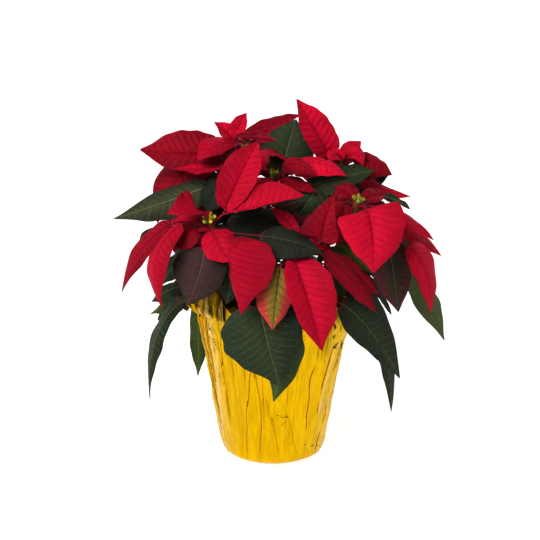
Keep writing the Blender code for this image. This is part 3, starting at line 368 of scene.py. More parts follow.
# %% the heads, with the blades that are given one by one
HEADS = [
    Head("front_left", (-67, -75, 289), (-0.25, -0.5, 0.83), "low", 5, [
        bract((-53, -80, 299), (-38, -62, 333), (-16, -40, 371), 22, 21,
             (-0.1, -0.9, 0.4), 18, "oval", look="shaded_wine"),
        bract((-56, -82, 300), (-12, -80, 309), (33, -75, 319), 26, 22, (0, -0.38, 0.92), 37, "oval"),
        bract((-76, -70, 298), (-93, -86, 300), (-113, -95, 304), 20, 30, (0, -0.38, 0.92), 37, "wedge"),
        bract((-91, -85, 296), (-124, -115, 260), (-118, -112, 205), 15, 20,
             (-0.6, -0.7, 0.35), -28, look="shaded_wine"),
        bract((-100, -82, 294), (-140, -88, 264), (-165, -72, 210), 13, 16,
             (-0.5, -0.6, 0.6), -12, "heart", look="deep"),
        bract((-82, -79, 287), (-95, -85, 280), (-113, -84, 266), 20, 17, (-0.25, -0.6, 0.75), -8, look="deep"),
        bract((-79, -66, 293), (-90, -62, 292), (-108, -58, 287), 13, 13, (-0.25, -0.6, 0.75)),
        bract((-65, -92, 287), (-58, -110, 277), (-46, -121, 258), 19, 19,
             (-0.1, -0.75, 0.65), -5, "disc", look="shaded_wine"),
        bract((-49, -104, 279), (-43, -130, 249), (-34, -138, 205), 48, 18,
             (-0.6, -0.75, 0.25), -45, "heart", look="shaded_wine"),
    ], [
        leaf(0.86, (-73, -95, 271), (-78, -108, 243), (-92, -112, 207), 27, 31,
             (-0.1, -0.9, 0.4), -8, "plain", look="maroon"),
        leaf(0.8, (-96, -50, 199), (-131, -46, 150), (-140, -30, 69), 10, 22, (-0.6, -0.6, 0.4), -30),
        leaf(0.9, (-16, -92, 279), (18, -104, 276), (52, -113, 265), 14, 21, (0.1, -0.8, 0.6), -8, look="dark"),
        leaf(0.8, (-103, -22, 188), (-119, -12, 180), (-141, 0, 164), 10, 9,
             (-0.3, -0.5, 0.8), -10, "plain", look="light"),
        leaf(0.8, (-96, -60, 255), (-110, -50, 235), (-123, -42, 211), 13, 11, (-0.5, -0.7, 0.4), -10, "plain"),
        leaf(0.8, (-98, -42, 211), (-119, -30, 200), (-137, -20, 185), 12, 11, (-0.3, -0.6, 0.7), -10, "plain"),
        leaf(0.6, (-55, -80, 251), (-47, -90, 230), (-51, -94, 203), 15, 15, (0, -0.9, 0.4), -8, "plain"),
    ], (), ((165, 0.45), (190, 0.6))),
    Head("upper_left", (-31, 14, 348), (-0.1, -0.1, 0.98), "high", 3, [
        bract((-50, 0, 354), (-96, -6, 352), (-148, 0, 355), 23, 26, (-0.1, -0.85, 0.5), 8, look="ribbed_shaded"),
        bract((-54, 5, 342), (-106, 5, 323), (-130, 0, 271), 24, 30, (-0.4, -0.7, 0.6), -10, look="deep"),
        bract((-52, -12, 340), (-77, -22, 338), (-109, -24, 338), 18, 18, (0, -0.15, 0.98), 5),
        bract((-37, -6, 362), (-58, -22, 364), (-82, -36, 349), 11, 26,
             (-0.3, -0.6, 0.75), -12, "oval", look="shaded_wine"),
        bract((-42, -8, 363), (-50, -8, 375), (-65, -8, 387), 9, 10, (-0.2, -0.6, 0.75), 10),
        bract((-45, -11, 371), (-19, -15, 372), (6, -24, 368), 12, 11,
             (-0.1, 0.62, 0.78), 5, "lance", look="lit_bright"),
        bract((-43, 22, 362), (-39, 32, 375), (-30, 44, 389), 10, 9, (0, -0.85, 0.5), 10),
        bract((-25, -6, 356), (-16, -18, 350), (-11, -24, 336), 15, 10, (0.4, -0.7, 0.6), -8),
    ], [
        leaf(0.8, (-61, -22, 323), (-116, -30, 303), (-176, -35, 284), 20, 17,
             (-0.1, -0.75, 0.6), -10, look="olive"),
        leaf(0.7, (-54, -30, 328), (-64, -36, 312), (-72, -42, 290), 16, 16,
             (-0.2, -0.8, 0.5), 5, "plain", look="dark"),
    ], (60, 20, 95), ((250, 0.55), (200, 0.6), (170, 0.4), (130, 0.5))),
    Head("middle", (-1, 0, 323), (0.15, -0.2, 0.96), "top", 3, [
        bract((15, -8, 331), (47, -20, 344), (81, -26, 330), 10, 17, (0.1, -0.7, 0.7), -15, look="lit_bright"),
        bract((9, -14, 331), (24, -28, 345), (47, -38, 332), 8, 14, (-0.1, -0.8, 0.6), -10, look="deep"),
        bract((5, -10, 323), (26, -27, 321), (47, -40, 315), 10, 9, (0.2, -0.7, 0.65), look="deep"),
        bract((-6, -11, 325), (-12, -22, 324), (-21, -32, 318), 11, 10, (-0.3, -0.8, 0.5), -8),
    ], [
        leaf(0.8, (12, 17, 331), (17, 31, 353), (26, 42, 382), 30, 31, (-0.05, -0.85, 0.45), -6, "heart"),
        leaf(0.72, (34, -16, 315), (74, -16, 327), (112, -14, 334), 26, 21, (0, -0.5, 0.87), -6, "heart"),
        leaf(0.66, (50, -24, 317), (40, -38, 307), (27, -48, 290), 25, 19, (0.1, -0.75, 0.6), -4, "plain"),
        leaf(0.5, (-50, -50, 292), (-14, -60, 286), (22, -66, 275), 23, 25,
             (0, -0.6, 0.8), -6, "plain", look="dark"),
        leaf(0.62, (36, -36, 307), (19, -44, 303), (3, -52, 297), 9, 10,
             (0, -0.7, 0.7), 0, "plain", look="maroon"),
        leaf(0.75, (14, 20, 325), (1, 16, 333), (-12, 12, 335), 9, 9,
             (-0.1, -0.7, 0.7), 0, "plain", look="olive"),
    ], (100, 150, 200), ((255, 0.5), (300, 0.55), (345, 0.4), (80, 0.5), (180, 0.35))),
    Head("upper_right", (76, 35, 330), (0.2, 0, 0.98), "high", 3, [
        bract((66, 28, 339), (47, 22, 373), (26, 16, 409), 17, 20,
             (0.1, -0.9, 0.4), 10, "heart", wave=1.6, look="ribbed"),
        bract((84, 26, 335), (89, 26, 347), (99, 25, 360), 14, 9, (0, -0.9, 0.4), 8, wave=1.6),
        bract((87, 25, 337), (109, 14, 339), (133, 5, 325), 11, 26,
             (0.2, -0.75, 0.6), -10, wave=1.6, look="ribbed_shaded"),
        bract((93, 20, 326), (118, 10, 309), (155, 12, 299), 10, 9, (0.2, -0.6, 0.75), -10),
        bract((76, 25, 337), (70, 14, 346), (62, 6, 339), 10, 10, (-0.3, -0.8, 0.5), wave=1.6),
        bract((81, 25, 338), (92, 13, 348), (101, 6, 335), 10, 10, (0.3, -0.8, 0.5), wave=1.6),
    ], [], (55, 85, 115, 150), ((60, 0.62), (5, 0.7), (280, 0.6), (100, 0.5), (340, 0.4), (20, 0.45))),
    Head("right", (90, -60, 307), (0.25, -0.45, 0.85), "low", 4, [
        bract((98, -79, 309), (105, -101, 283), (106, -108, 242), 37, 35, (0.1, -0.95, 0.3), 6, "full"),
        bract((80, -60, 312), (73, -62, 287), (74, -63, 260), 13, 16, (0, -0.9, 0.4), look="deep"),
        bract((86, -58, 311), (80, -50, 317), (66, -44, 323), 14, 12, (0, -0.7, 0.7), 5, look="deep"),
        bract((96, -55, 310), (110, -45, 312), (123, -37, 311), 11, 9, (0, -0.7, 0.7), 5, look="deep"),
        bract((107, -60, 304), (143, -58, 290), (175, -55, 265), 9, 12, (0.3, -0.6, 0.75), -10),
        bract((114, -52, 296), (153, -42, 273), (186, -35, 242), 11, 16, (0.4, -0.5, 0.75), -14),
        bract((146, -68, 264), (165, -76, 235), (172, -70, 187), 22, 15, (0.5, -0.75, 0.4), -18, "heart"),
    ], [
        leaf(0.84, (125, -55, 267), (131, -60, 230), (138, -58, 184), 24, 23,
             (0.2, -0.9, 0.35), -8, "plain", look="dusky"),
        leaf(0.7, (66, -49, 262), (85, -54, 249), (108, -60, 229), 13, 13,
             (0.1, -0.8, 0.5), 10, "plain", look="light"),
        leaf(0.92, (116, -15, 306), (137, -12, 300), (153, -10, 289), 5, 5, (0.1, -0.7, 0.7), 8, "plain"),
        leaf(0.72, (153, 5, 225), (176, 8, 181), (198, 10, 129), 17, 15, (0.3, 0.8, 0.5), -10, look="light"),
        leaf(0.6, (98, -40, 225), (118, -35, 199), (133, -30, 172), 7, 6, (0.5, -0.6, 0.6), -8, "plain"),
        leaf(0.4, (70, -84, 204), (106, -74, 168), (142, -50, 104), 36, 20, (0.4, -0.8, 0.45), -10),
        leaf(0.38, (88, -64, 200), (121, -64, 148), (133, -50, 64), 22, 15, (0.6, -0.6, 0.5), -12),
    ], (), ((230, 0.5), (10, 0.75), (0, 0.45), (25, 0.55))),
    Head("front", (20, -95, 264), (0.05, -0.6, 0.8), "low", 3, [
        bract((21, -105, 260), (36, -134, 222), (51, -140, 166), 31, 24, (0.35, -0.9, 0.25), 20),
        bract((47, -98, 265), (79, -88, 235), (112, -78, 190), 15, 13,
             (0.35, -0.75, 0.55), -10, "oval", look="deep"),
        bract((60, -85, 256), (89, -77, 233), (115, -69, 206), 11, 11, (0.35, -0.75, 0.55), look="deep"),
        bract((32, -92, 273), (50, -82, 266), (66, -72, 252), 6, 6, (0.1, -0.7, 0.7), wave=1.6),
        bract((52, -87, 270), (55, -84, 294), (69, -78, 329), 24, 18,
             (-0.1, -0.9, 0.4), 8, "spade", look="deep"),
        bract((24, -86, 277), (16, -74, 290), (-4, -60, 303), 8, 8, (0.2, -0.8, 0.5)),
    ], [
        leaf(0.6, (-16, -108, 212), (-6, -118, 168), (7, -110, 116), 36, 46, (-0.05, -0.95, 0.25), -8),
        leaf(0.55, (-12, -100, 205), (6, -106, 156), (0, -96, 93), 27, 20,
             (-0.05, -0.95, 0.25), -5, look="light"),
        leaf(0.8, (8, -111, 256), (3, -123, 221), (-1, -129, 185), 17, 22,
             (0, -0.9, 0.4), -6, "plain", look="turning"),
        leaf(0.7, (56, -70, 244), (68, -68, 226), (81, -66, 203), 12, 13, (0.2, -0.8, 0.5), -5, "plain"),
    ], (), ()),
    Head("back", (-30, 80, 352), (-0.1, 0.4, 0.9), "high", 4, [
        bract((-38, 68, 357), (-2, 66, 373), (32, 60, 384), 11, 10, (0.1, -0.6, 0.75), -10, look="deep"),
    ], [], (30, 75, 115, 150, 190, 340), ((95, 0.62), (140, 0.75), (60, 0.5), (170, 0.45))),
    Head("back_right", (95, 85, 290), (0.45, 0.4, 0.8), "low", 3, [], [],
         (10, 55, 100, 145, 325, 350), ((0, 0.62), (30, 0.5), (70, 0.7), (335, 0.45), (350, 0.78))),
    Head("back_left", (-95, 72, 298), (-0.5, 0.4, 0.78), "low", 3, [], [
        leaf(0.78, (-90, 58, 161), (-89, 62, 112), (-90, 62, 68), 11, 11, (-0.3, -0.8, 0.4), -8, look="light"),
    ], (85, 125, 165, 205, 240, 50), ((185, 0.62), (150, 0.5), (120, 0.7), (210, 0.4), (170, 0.8))),
    Head("left", (-80, 4, 268), (-0.62, -0.05, 0.78), "middle", 3, [], [],
         (180, 135, 225, 90), ((185, 0.6), (225, 0.5), (150, 0.7), (180, 0.35), (165, 0.85), (205, 0.85))),
    Head("side_right", (98, 8, 266), (0.7, 0.05, 0.7), "low", 3, [], [],
         (0, 50, 310, 90), ((0, 0.6), (35, 0.5), (325, 0.45), (15, 0.8), (345, 0.35), (340, 0.85))),
    Head("back_low", (5, 120, 268), (0.05, 0.65, 0.75), "low", 3, [], [],
         (20, 60, 95, 130, 165, 200), ((60, 0.62), (90, 0.5), (125, 0.7))),
]
print("heads", len(HEADS), "blades laid out by hand", sum(len(h.bracts) + len(h.leaves) for h in HEADS))

# %% the lines that stems and blades follow
def bezier(start, start_handle, end_handle, end, share):
    rest = 1 - share
    return (
        start * rest**3
        + start_handle * 3 * rest**2 * share
        + end_handle * 3 * rest * share**2
        + end * share**3
    )


def outline(blade, share):
    """How wide the blade is at a share of the way from its start to its tip, 1 being the widest."""
    full_base, full_tip, lobes = FORMS[blade.form]
    widest = full_base / (full_base + full_tip)
    peak = widest**full_base * (1 - widest) ** full_tip
    width = share**full_base * (1 - share) ** full_tip / peak
    for at, size in ((0.32, 1.0), (0.52, 0.7)):
        width *= 1 + lobes * size * max(0, 1 - abs(share - at) / 0.1)
    return width * (1 - DRAWN_TIP * max(0, share * 4 - 3))


def blade_point(blade, base, along, across):
    """A point of the blade's middle surface, in millimetres. along runs from -1 at the foot of the
    stalk, past 0 at the blade's start, to 1 at the tip. across runs from -1 to 1 between its edges."""
    start, via, end = Vector(blade.start), Vector(blade.via), Vector(blade.tip)
    share = max(0.0, along)
    knee = via * 2 - (start + end) / 2
    heading = ((knee - start) * (1 - share) + (end - knee) * share).normalized()
    place = start * (1 - share) ** 2 + knee * 2 * share * (1 - share) + end * share**2
    if along < 0:
        place = start.lerp(Vector(base), -along)
        heading = (start - Vector(base)).normalized().lerp(heading, 0.5).normalized()
    face = Vector(blade.face)
    up = (face - heading * face.dot(heading)).normalized()
    side = heading.cross(up)
    turn = math.radians(blade.twist) * (share - 0.5)
    up, side = up * math.cos(turn) + side * math.sin(turn), side * math.cos(turn) - up * math.sin(turn)
    half = (blade.left if across < 0 else blade.right) * outline(blade, share)
    half = max(half, STALK_THICKNESS / MM / 2 * (1 - share) ** 0.5)
    lift = math.radians(blade.fold)
    wave = blade.wave * across**2 * math.sin(2 * math.pi * (1.6 * share + 0.23 * across))
    wave *= math.sin(math.pi * share)
    rise = abs(across) * half * math.sin(lift) + wave
    return place + side * across * half * math.cos(lift) + up * rise


def blade_rows(blade):
    """Where along a blade it has a row of points."""
    if blade.left + blade.right < 24:
        return (-1, 0, 0.25, 0.62, 1)
    if blade.form == "lobed":
        return (-1, 0, 0.13, 0.32, 0.52, 0.7, 0.86, 1)
    if blade.form in ("plain", "oval"):
        return (-1, 0, 0.22, 0.62, 1)
    return (-1, 0, 0.16, 0.42, 0.72, 1)


def blade_columns(blade):
    return (-1, -0.55, 0, 0.55, 1) if blade.left + blade.right > 58 else (-1, 0, 1)


def blade_sheet(blade, base):
    """The blade as an open sheet in metres, split into triangles, with the stalk in a vertex group."""
    rows, columns = blade_rows(blade), blade_columns(blade)
    bm = bmesh.new()
    bmesh.ops.create_grid(bm, x_segments=len(columns) - 1, y_segments=len(rows) - 1, size=1)
    stalk = bm.verts.layers.deform.new()
    for vert in bm.verts:
        row = round((vert.co.y + 1) / 2 * (len(rows) - 1))
        column = round((vert.co.x + 1) / 2 * (len(columns) - 1))
        vert.co = blade_point(blade, base, rows[row], columns[column]) * MM
        vert[stalk][0] = 1.0 if row < 2 else 0.0
    bmesh.ops.triangulate(bm, faces=bm.faces)
    bmesh.ops.remove_doubles(bm, verts=bm.verts, dist=WELD)
    return bm


def cover_neck(angle):
    return NECK_HEIGHT + NECK_TILT * math.cos(angle - NECK_TILT_TOWARDS)


def cover_radius(height, angle):
    """Radius of the cover's body or lip, without its pleats, in millimetres."""
    neck = cover_neck(angle)
    points = [*COVER_PROFILE, (neck, NECK_RADIUS), (neck + LIP_HEIGHT, LIP_RADIUS)]
    for (low, near), (high, far) in zip(points, points[1:]):
        if height <= high:
            return near + (far - near) * (height - low) / (high - low)
    return LIP_RADIUS


def fork(head):
    """(foot on the main stem's axis, end, direction) of the fork that a head's branch grows from."""
    if head.tier == "top":
        return Vector((0, 0, STEM_TOP - FORK_LENGTH)), Vector((0, 0, STEM_TOP)), Vector((0, 0, 1))
    out = Vector((head.hub[0], head.hub[1], 0)).normalized()
    heading = (out + Vector((0, 0, FORK_RISE))).normalized()
    foot = Vector((0, 0, FORK_HEIGHTS[head.tier]))
    return foot, foot + heading * FORK_LENGTH, heading


def branch_points(head):
    """The centre line of a head's branch, from its fork to just under its receptacle, in mm."""
    _, end, heading = fork(head)
    axis = Vector(head.axis).normalized()
    first = end + heading * TOUCH_GAP / MM
    last = Vector(head.hub) - axis * (RECEPTACLE_LENGTH + TOUCH_GAP / MM)
    start, finish = first + heading * STRAIGHT_END, last - axis * STRAIGHT_END
    reach = (finish - start).length * 0.4
    handles = (start, start + heading * reach, finish - axis * reach, finish)
    steps = BRANCH_STEPS - 2
    return [first, *(bezier(*handles, step / steps) for step in range(steps + 1)), last]


def on_branch(head, share):
    """The point at a share of the way up a head's branch, in millimetres."""
    points = branch_points(head)
    place = share * BRANCH_STEPS
    step = min(int(place), BRANCH_STEPS - 1)
    return points[step].lerp(points[step + 1], place - step)


def bract_base(head, blade, index):
    """Where a bract's stalk starts: inside the receptacle, the lower ones on the outside."""
    axis = Vector(head.axis).normalized()
    hub = Vector(head.hub)
    out = Vector(blade.tip) - hub
    out = (out - axis * out.dot(axis)).normalized()
    return hub - axis * (2.5 + index % 4 * 1.6) + out * 2

# %% further blades, grown where there is room
def filler(head, compass, droop, reach, root):
    """A bract, or a leaf where root is given, that grows in a compass direction and droops."""
    angle = math.radians(compass)
    slope = math.radians(droop)
    level = Vector((math.cos(angle), math.sin(angle), 0))
    out = level * math.cos(slope) - Vector((0, 0, math.sin(slope)))
    up = level * math.sin(slope) + Vector((0, 0, math.cos(slope)))
    foot = on_branch(head, root) if root else Vector(head.hub)
    start = foot + out * reach * 0.2 + up * reach * 0.06
    tip = foot + out * reach - up * reach * 0.06
    via = start.lerp(tip, 0.5) + up * reach * 0.09
    half = reach * (0.22 if root else 0.27)
    fold, form = (-8, "plain") if root else (10, "oval")
    places = (tuple(start), tuple(via), tuple(tip))
    return Blade(*places, half, half, tuple(up), fold, form, 0, 1.2, root, "leaf" if root else "bract")


def tries(head, compass, root):
    """The blades that may fill in, in the order in which they are tried."""
    reaches = (112, 98, 84, 70, 56) if root else (92, 80, 66, 54)
    droops = (25, 45, 60, 5, 75) if root else (12, 28, 44, 0, -14, 58)
    for reach in reaches:
        for droop in droops:
            for swing in (0, 12, -12, 24, -24, 36, -36):
                yield filler(head, compass + swing, droop, reach, root)


def blade_base(head, blade, index):
    return on_branch(head, blade.root) if blade.root else bract_base(head, blade, index)


def tree_of(bm):
    tree = BVHTree.FromBMesh(bm)
    bm.free()
    return tree


def stem_tree(points, radius):
    """A search tree of a plain tube along points, in millimetres."""
    bm = bmesh.new()
    rings = []
    for near, far in zip([points[0], *points], points[1:] + [points[-1]]):
        heading = (far - near).normalized()
        across = heading.orthogonal().normalized()
        other = heading.cross(across)
        middle = far if len(rings) == len(points) - 1 else points[len(rings)]
        corners = (across, other, -across, -other)
        rings.append([bm.verts.new((middle + corner * radius) * MM) for corner in corners])
    for low, high in zip(rings, rings[1:]):
        for turn in range(4):
            bm.faces.new((low[turn], low[turn - 1], high[turn - 1], high[turn]))
    return tree_of(bm)


def sheet_tree(blade, base, lift):
    """A search tree of the blade's sheet, moved lift millimetres to its upper side."""
    bm = blade_sheet(blade, base)
    up = Vector(blade.face).normalized() * lift * MM
    bmesh.ops.translate(bm, verts=bm.verts, vec=up)
    return tree_of(bm)


def limits_at(height):
    """How far the crown reaches to the left and right at a height."""
    for (low, left, right), (high, far_left, far_right) in zip(CROWN, CROWN[1:]):
        if height <= high:
            share = max(0, (height - low) / (high - low))
            return left + (far_left - left) * share, right + (far_right - right) * share
    return 0, 0


def in_its_place(blade, base):
    """Whether the whole blade stays in the crown, and above or outside the cover's lip."""
    for row in blade_rows(blade):
        for column in blade_columns(blade):
            point = blade_point(blade, base, row, column)
            left, right = limits_at(point.z + point.y * CROWN_RISE)
            if not left <= point.x <= right:
                return False
            lip = cover_neck(math.atan2(point.y, point.x)) + LIP_HEIGHT + LIP_ZIGZAG + 4
            if point.z < lip and math.hypot(point.x, point.y) < LIP_RADIUS + 6:
                return False
    return True


def place_blades():
    """For each head, its bracts and leaves as (blade, base) pairs, the filling ones included."""
    placed = {}
    trees = []
    for head in HEADS:
        bracts = [(b, blade_base(head, b, i)) for i, b in enumerate(head.bracts)]
        leaves = [(b, blade_base(head, b, i)) for i, b in enumerate(head.leaves)]
        placed[head.name] = (bracts, leaves)
        trees += [(head.name, sheet_tree(b, base, 0)) for b, base in bracts + leaves]
        trees.append((head.name + " stem", stem_tree(branch_points(head), BRANCH_RADIUS_LOW + 1)))
        hub, axis = Vector(head.hub), Vector(head.axis).normalized()
        trees.append(("cups", stem_tree([hub + axis, hub + axis * 13], head.cups * CUP_SPACING + 4)))
    for head in sorted(HEADS, key=lambda head: len(head.bracts)):
        bracts, leaves = placed[head.name]
        wanted = [(compass, None) for compass in head.more_bracts] + list(head.more_leaves)
        for compass, root in wanted:
            group = leaves if root else bracts
            others = [tree for owner, tree in trees if owner != head.name + " stem"]
            for blade in tries(head, compass, root):
                base = blade_base(head, blade, len(group))
                if not in_its_place(blade, base):
                    continue
                sheets = [sheet_tree(blade, base, lift) for lift in (0, 1.3, -1.3, 2.6, -2.6)]
                if not any(sheet.overlap(tree) for sheet in sheets for tree in others):
                    group.append((blade, base))
                    trees.append((head.name, sheets[0]))
                    break
    return placed

placed = place_blades()
print("blades in all", sum(len(bracts) + len(leaves) for bracts, leaves in placed.values()))

# %% [markdown]
# ## Leaves and bracts
# A bract is a thin velvety leaf. Its side veins leave the midrib in pairs and curve to the tip, and the
# skin swells between them like a quilt. A true leaf is dark green with paler veins and a duller, greyer
# underside with a raised rib. Older and inner leaves have turned maroon or olive, and one is half red.

# %% colours of the blades
# centre is the colour by the midrib and margin the colour by the edge, both on the upper side.
Look = namedtuple("Look", "centre margin under vein stalk quilt")
# The darker and lighter copies of the bract red go to blades by how dark each one stands: partly the blade's own tone,
# partly painted shade and painted light.
LOOKS = {
    "bract": Look((190, 8, 57), (181, 5, 50), (166, 30, 66), (122, 2, 32), (142, 28, 50), 0.75),
    "lit_bright": Look((204, 16, 62), (196, 10, 54), (186, 44, 78), (132, 4, 36), (142, 28, 50), 0.75),
    "shaded_wine": Look((174, 5, 50), (164, 3, 44), (156, 26, 60), (108, 1, 28), (132, 24, 46), 0.8),
    "ribbed": Look((190, 8, 57), (182, 6, 51), (166, 30, 66), (108, 1, 26), (142, 28, 50), 1.5),
    "ribbed_shaded": Look((142, 2, 34), (128, 1, 29), (140, 20, 48), (84, 0, 18), (120, 18, 38), 1.5),
    "deep": Look((150, 3, 38), (134, 2, 32), (134, 18, 48), (88, 0, 20), (120, 18, 38), 0.8),
    "leaf": Look((44, 56, 31), (34, 47, 28), (92, 104, 62), (110, 118, 80), (108, 42, 44), 0.7),
    "dark": Look((34, 38, 26), (27, 31, 22), (70, 72, 48), (74, 76, 58), (92, 36, 38), 0.5),
    "light": Look((72, 90, 36), (54, 74, 32), (92, 104, 68), (124, 132, 80), (120, 66, 50), 0.5),
    "maroon": Look((66, 42, 40), (54, 38, 36), (98, 66, 60), (114, 84, 76), (100, 34, 44), 0.6),
    "dusky": Look((56, 48, 33), (82, 32, 36), (98, 80, 62), (108, 98, 70), (100, 34, 44), 0.6),
    "olive": Look((62, 66, 43), (45, 48, 34), (104, 106, 66), (128, 128, 90), (112, 70, 50), 0.6),
    "turning": Look((132, 122, 44), (182, 62, 62), (150, 84, 72), (72, 40, 32), (150, 52, 52), 0.8),
}
VEIN_SPACING = 8.0
VEIN_SLOPE = 0.72
VEIN_BEND = 0.007


def vein_phase(across, along):
    """Counts the side veins at a point of a blade, in mm from its midrib and its start."""
    reach = np.abs(across)
    return (along - VEIN_SLOPE * reach + VEIN_BEND * reach**2) / VEIN_SPACING


# %% the midrib, rounded where the stalk turns into the blade
def midrib(blade, base, along):
    start, via, end, base = (np.array(tuple(v)) for v in (blade.start, blade.via, blade.tip, base))
    knee = via * 2 - (start + end) / 2
    stalk, speed = np.linalg.norm(start - base), 2 * np.linalg.norm(knee - start)

    def place(at):
        share = max(0, at)
        if at < 0:
            return start + (base - start) * -at
        return start * (1 - share) ** 2 + knee * 2 * share * (1 - share) + end * share**2

    reach = min(0.5 * stalk, 0.18 * speed)
    low, high = -reach / stalk, reach / speed
    first, last = place(low), place(high)
    points = []
    for at in along:
        if low < at < high:
            turn = (at - low) / (high - low)
            points.append(first * (1 - turn) ** 2 + start * 2 * turn * (1 - turn) + last * turn**2)
        else:
            points.append(place(at))
    return np.array(points)


# %% one blade as rings
def fine_outline(blade, share):
    """How wide the blade is at each share of its length, 1 being the widest."""
    full_base, full_tip, lobes = FORMS[blade.form]
    full_base = full_base * (0.8 if lobes else 1)
    full_tip = full_tip * 0.84
    widest = full_base / (full_base + full_tip)
    peak = widest**full_base * (1 - widest) ** full_tip
    width = share**full_base * (1 - share) ** full_tip / peak
    for at, size in ((0.32, 0.5), (0.52, 0.6)):
        width = width * (1 + lobes * size * np.cos(np.clip((share - at) / 0.15, -1, 1) * np.pi / 2) ** 2)
    return width * (1 - DRAWN_TIP * 1.3 * smooth(share, 0.72, 1.0))


def fine_blade(heap, blade, base, seed):
    draw = random.Random(seed)
    look = LOOKS[blade.look]
    stalk = math.dist(blade.start, base)
    length = math.dist(blade.start, blade.via) + math.dist(blade.via, blade.tip)
    stalk_rows, rows = max(4, int(stalk / 2.5)), max(16, int(length / 1.75))
    along = np.concatenate([np.linspace(-1, 0, stalk_rows, endpoint=False), np.linspace(0, 1, rows + 1)])
    share = np.maximum(along, 0)[:, None]
    middle = midrib(blade, base, along)
    heading = np.gradient(middle, axis=0)
    heading /= np.linalg.norm(heading, axis=1)[:, None]
    face = np.array(blade.face, float)
    up = face - heading * (heading @ face)[:, None]
    up /= np.linalg.norm(up, axis=1)[:, None]
    side = np.cross(heading, up)
    turn = np.radians(blade.twist) * (share - 0.5)
    up, side = up * np.cos(turn) + side * np.sin(turn), side * np.cos(turn) - up * np.sin(turn)

    columns = max(9, int((blade.left + blade.right) / 2.05) | 1)
    share_across = np.linspace(-1, 1, columns)[None, :]
    narrow = STALK_THICKNESS / MM / 2 * (1 - share) ** 0.5 * 0.92
    wobble = 1 + 0.018 * np.sin(share * draw.uniform(22, 34) + share_across * 1.7 + seed)
    half = np.where(share_across < 0, blade.left, blade.right) * fine_outline(blade, share) * wobble
    half = np.sqrt(half**2 + narrow**2)
    across = share_across * half
    bladed = smooth(share, 0.0, 0.1)
    lift = math.radians(blade.fold)
    steady = np.sin(np.pi * share)

    wave = 1.4 * blade.wave * share_across**2 * np.sin(2 * np.pi * (1.6 * share + 0.23 * share_across))
    ripple = 0.55 * np.abs(share_across) ** 3 * np.sin(share * draw.uniform(20, 30) + share_across * 2 + seed)
    crown = half * (0.42 - 0.012 * abs(blade.fold)) * np.abs(share_across) * (1 - np.abs(share_across))
    reach = np.abs(across)
    phase = vein_phase(across, share * length)
    swell = np.abs(np.sin(np.pi * phase)) ** 0.7 - 0.6
    swell = swell * look.quilt * np.sqrt(steady) * (1 - share_across**6) * np.clip(reach / 4, 0, 1)
    groove = 0.55 * np.exp(-((across / 1.3) ** 2)) * bladed * (1 - share)
    rise = (np.sqrt(across**2 + 1.2) - 1.1) * math.sin(lift) * bladed
    rise = rise + (wave + ripple + crown) * steady + swell - groove
    sheet = middle[:, None] + side[:, None] * (across * math.cos(lift))[..., None] + up[:, None] * rise[..., None]

    out = np.cross(np.gradient(sheet, axis=1), np.gradient(sheet, axis=0))
    size = np.linalg.norm(out, axis=2)[..., None]
    out = np.where(size > 1e-4, out / np.maximum(size, 1e-4), up[:, None])
    out = np.where((out * up[:, None]).sum(-1, keepdims=True) < 0, -out, out)
    round_side = 1.1 * np.sqrt(1 - 0.9 * share_across**2)
    rib = 0.85 * np.exp(-((across / 1.1) ** 2)) * (1 - share) ** 0.8
    rib = rib + 0.12 * np.clip(1 - np.abs(np.sin(np.pi * phase)) * 4, 0, 1) * (1 - share_across**2)
    fade = 1 - 0.75 * smooth(share, 0.93, 1)
    above = (round_side * (1 - bladed) + 0.2 * bladed) * fade
    below = (round_side * (1 - bladed) + (0.25 + rib) * bladed) * fade
    top, bottom = sheet + out * above[..., None], sheet - out * below[..., None]
    rings = np.concatenate([top, bottom[:, ::-1]], axis=1)

    centre, margin, under = (colour(*v) for v in (look.centre, look.margin, look.under))
    # Painted shade: darker along the midrib towards the base, where the fold's gutter lies in shade, and on most blades
    # one half lighter and the other darker, as if lit from one side. The rest of shade is a random tone for each blade.
    edge = smooth(np.abs(share_across), 0.12, 0.75)[..., None]
    gutter_shade = 0.22 * np.exp(-((across / 3.2) ** 2)) * (1 - share)
    half_light_and_shade = 0.15 * share_across * (1 if seed % 4 else -1)
    shade = (draw.uniform(0.94, 1.06) * (1 - gutter_shade) * (1 + half_light_and_shade))[..., None]
    upper = (centre * (1 - edge) + margin * edge) * np.ones_like(sheet) * shade
    upper = upper * (1 - 0.12 * smooth(share, 0.0, 0.3)[..., None] + 0.12)
    lower = under * np.ones_like(sheet) * shade
    bladed = bladed[..., None]
    stalk_tone = colour(*look.stalk)
    upper = upper * bladed + stalk_tone * (1 - bladed)
    lower = lower * bladed + stalk_tone * (1 - bladed)
    vein = colour(*look.vein) * bladed + stalk_tone * (1 - bladed)
    vein_below = under * 1.25 * bladed + stalk_tone * (1 - bladed)
    tone = np.concatenate([upper, lower[:, ::-1]], axis=1)
    veins = np.concatenate([vein * np.ones_like(upper), (vein_below * np.ones_like(lower))[:, ::-1]], axis=1)
    spots = np.stack(np.broadcast_arrays(across, along[:, None] * np.where(share > 0, length, stalk)), -1)
    spots = np.concatenate([spots, spots[:, ::-1]], axis=1)
    place = np.stack(np.broadcast_arrays(np.abs(share_across), share, seed % 17 / 17), -1)
    place = np.concatenate([place, place[:, ::-1]], axis=1)
    heap.loft(rings, tone, veins, spots, place)


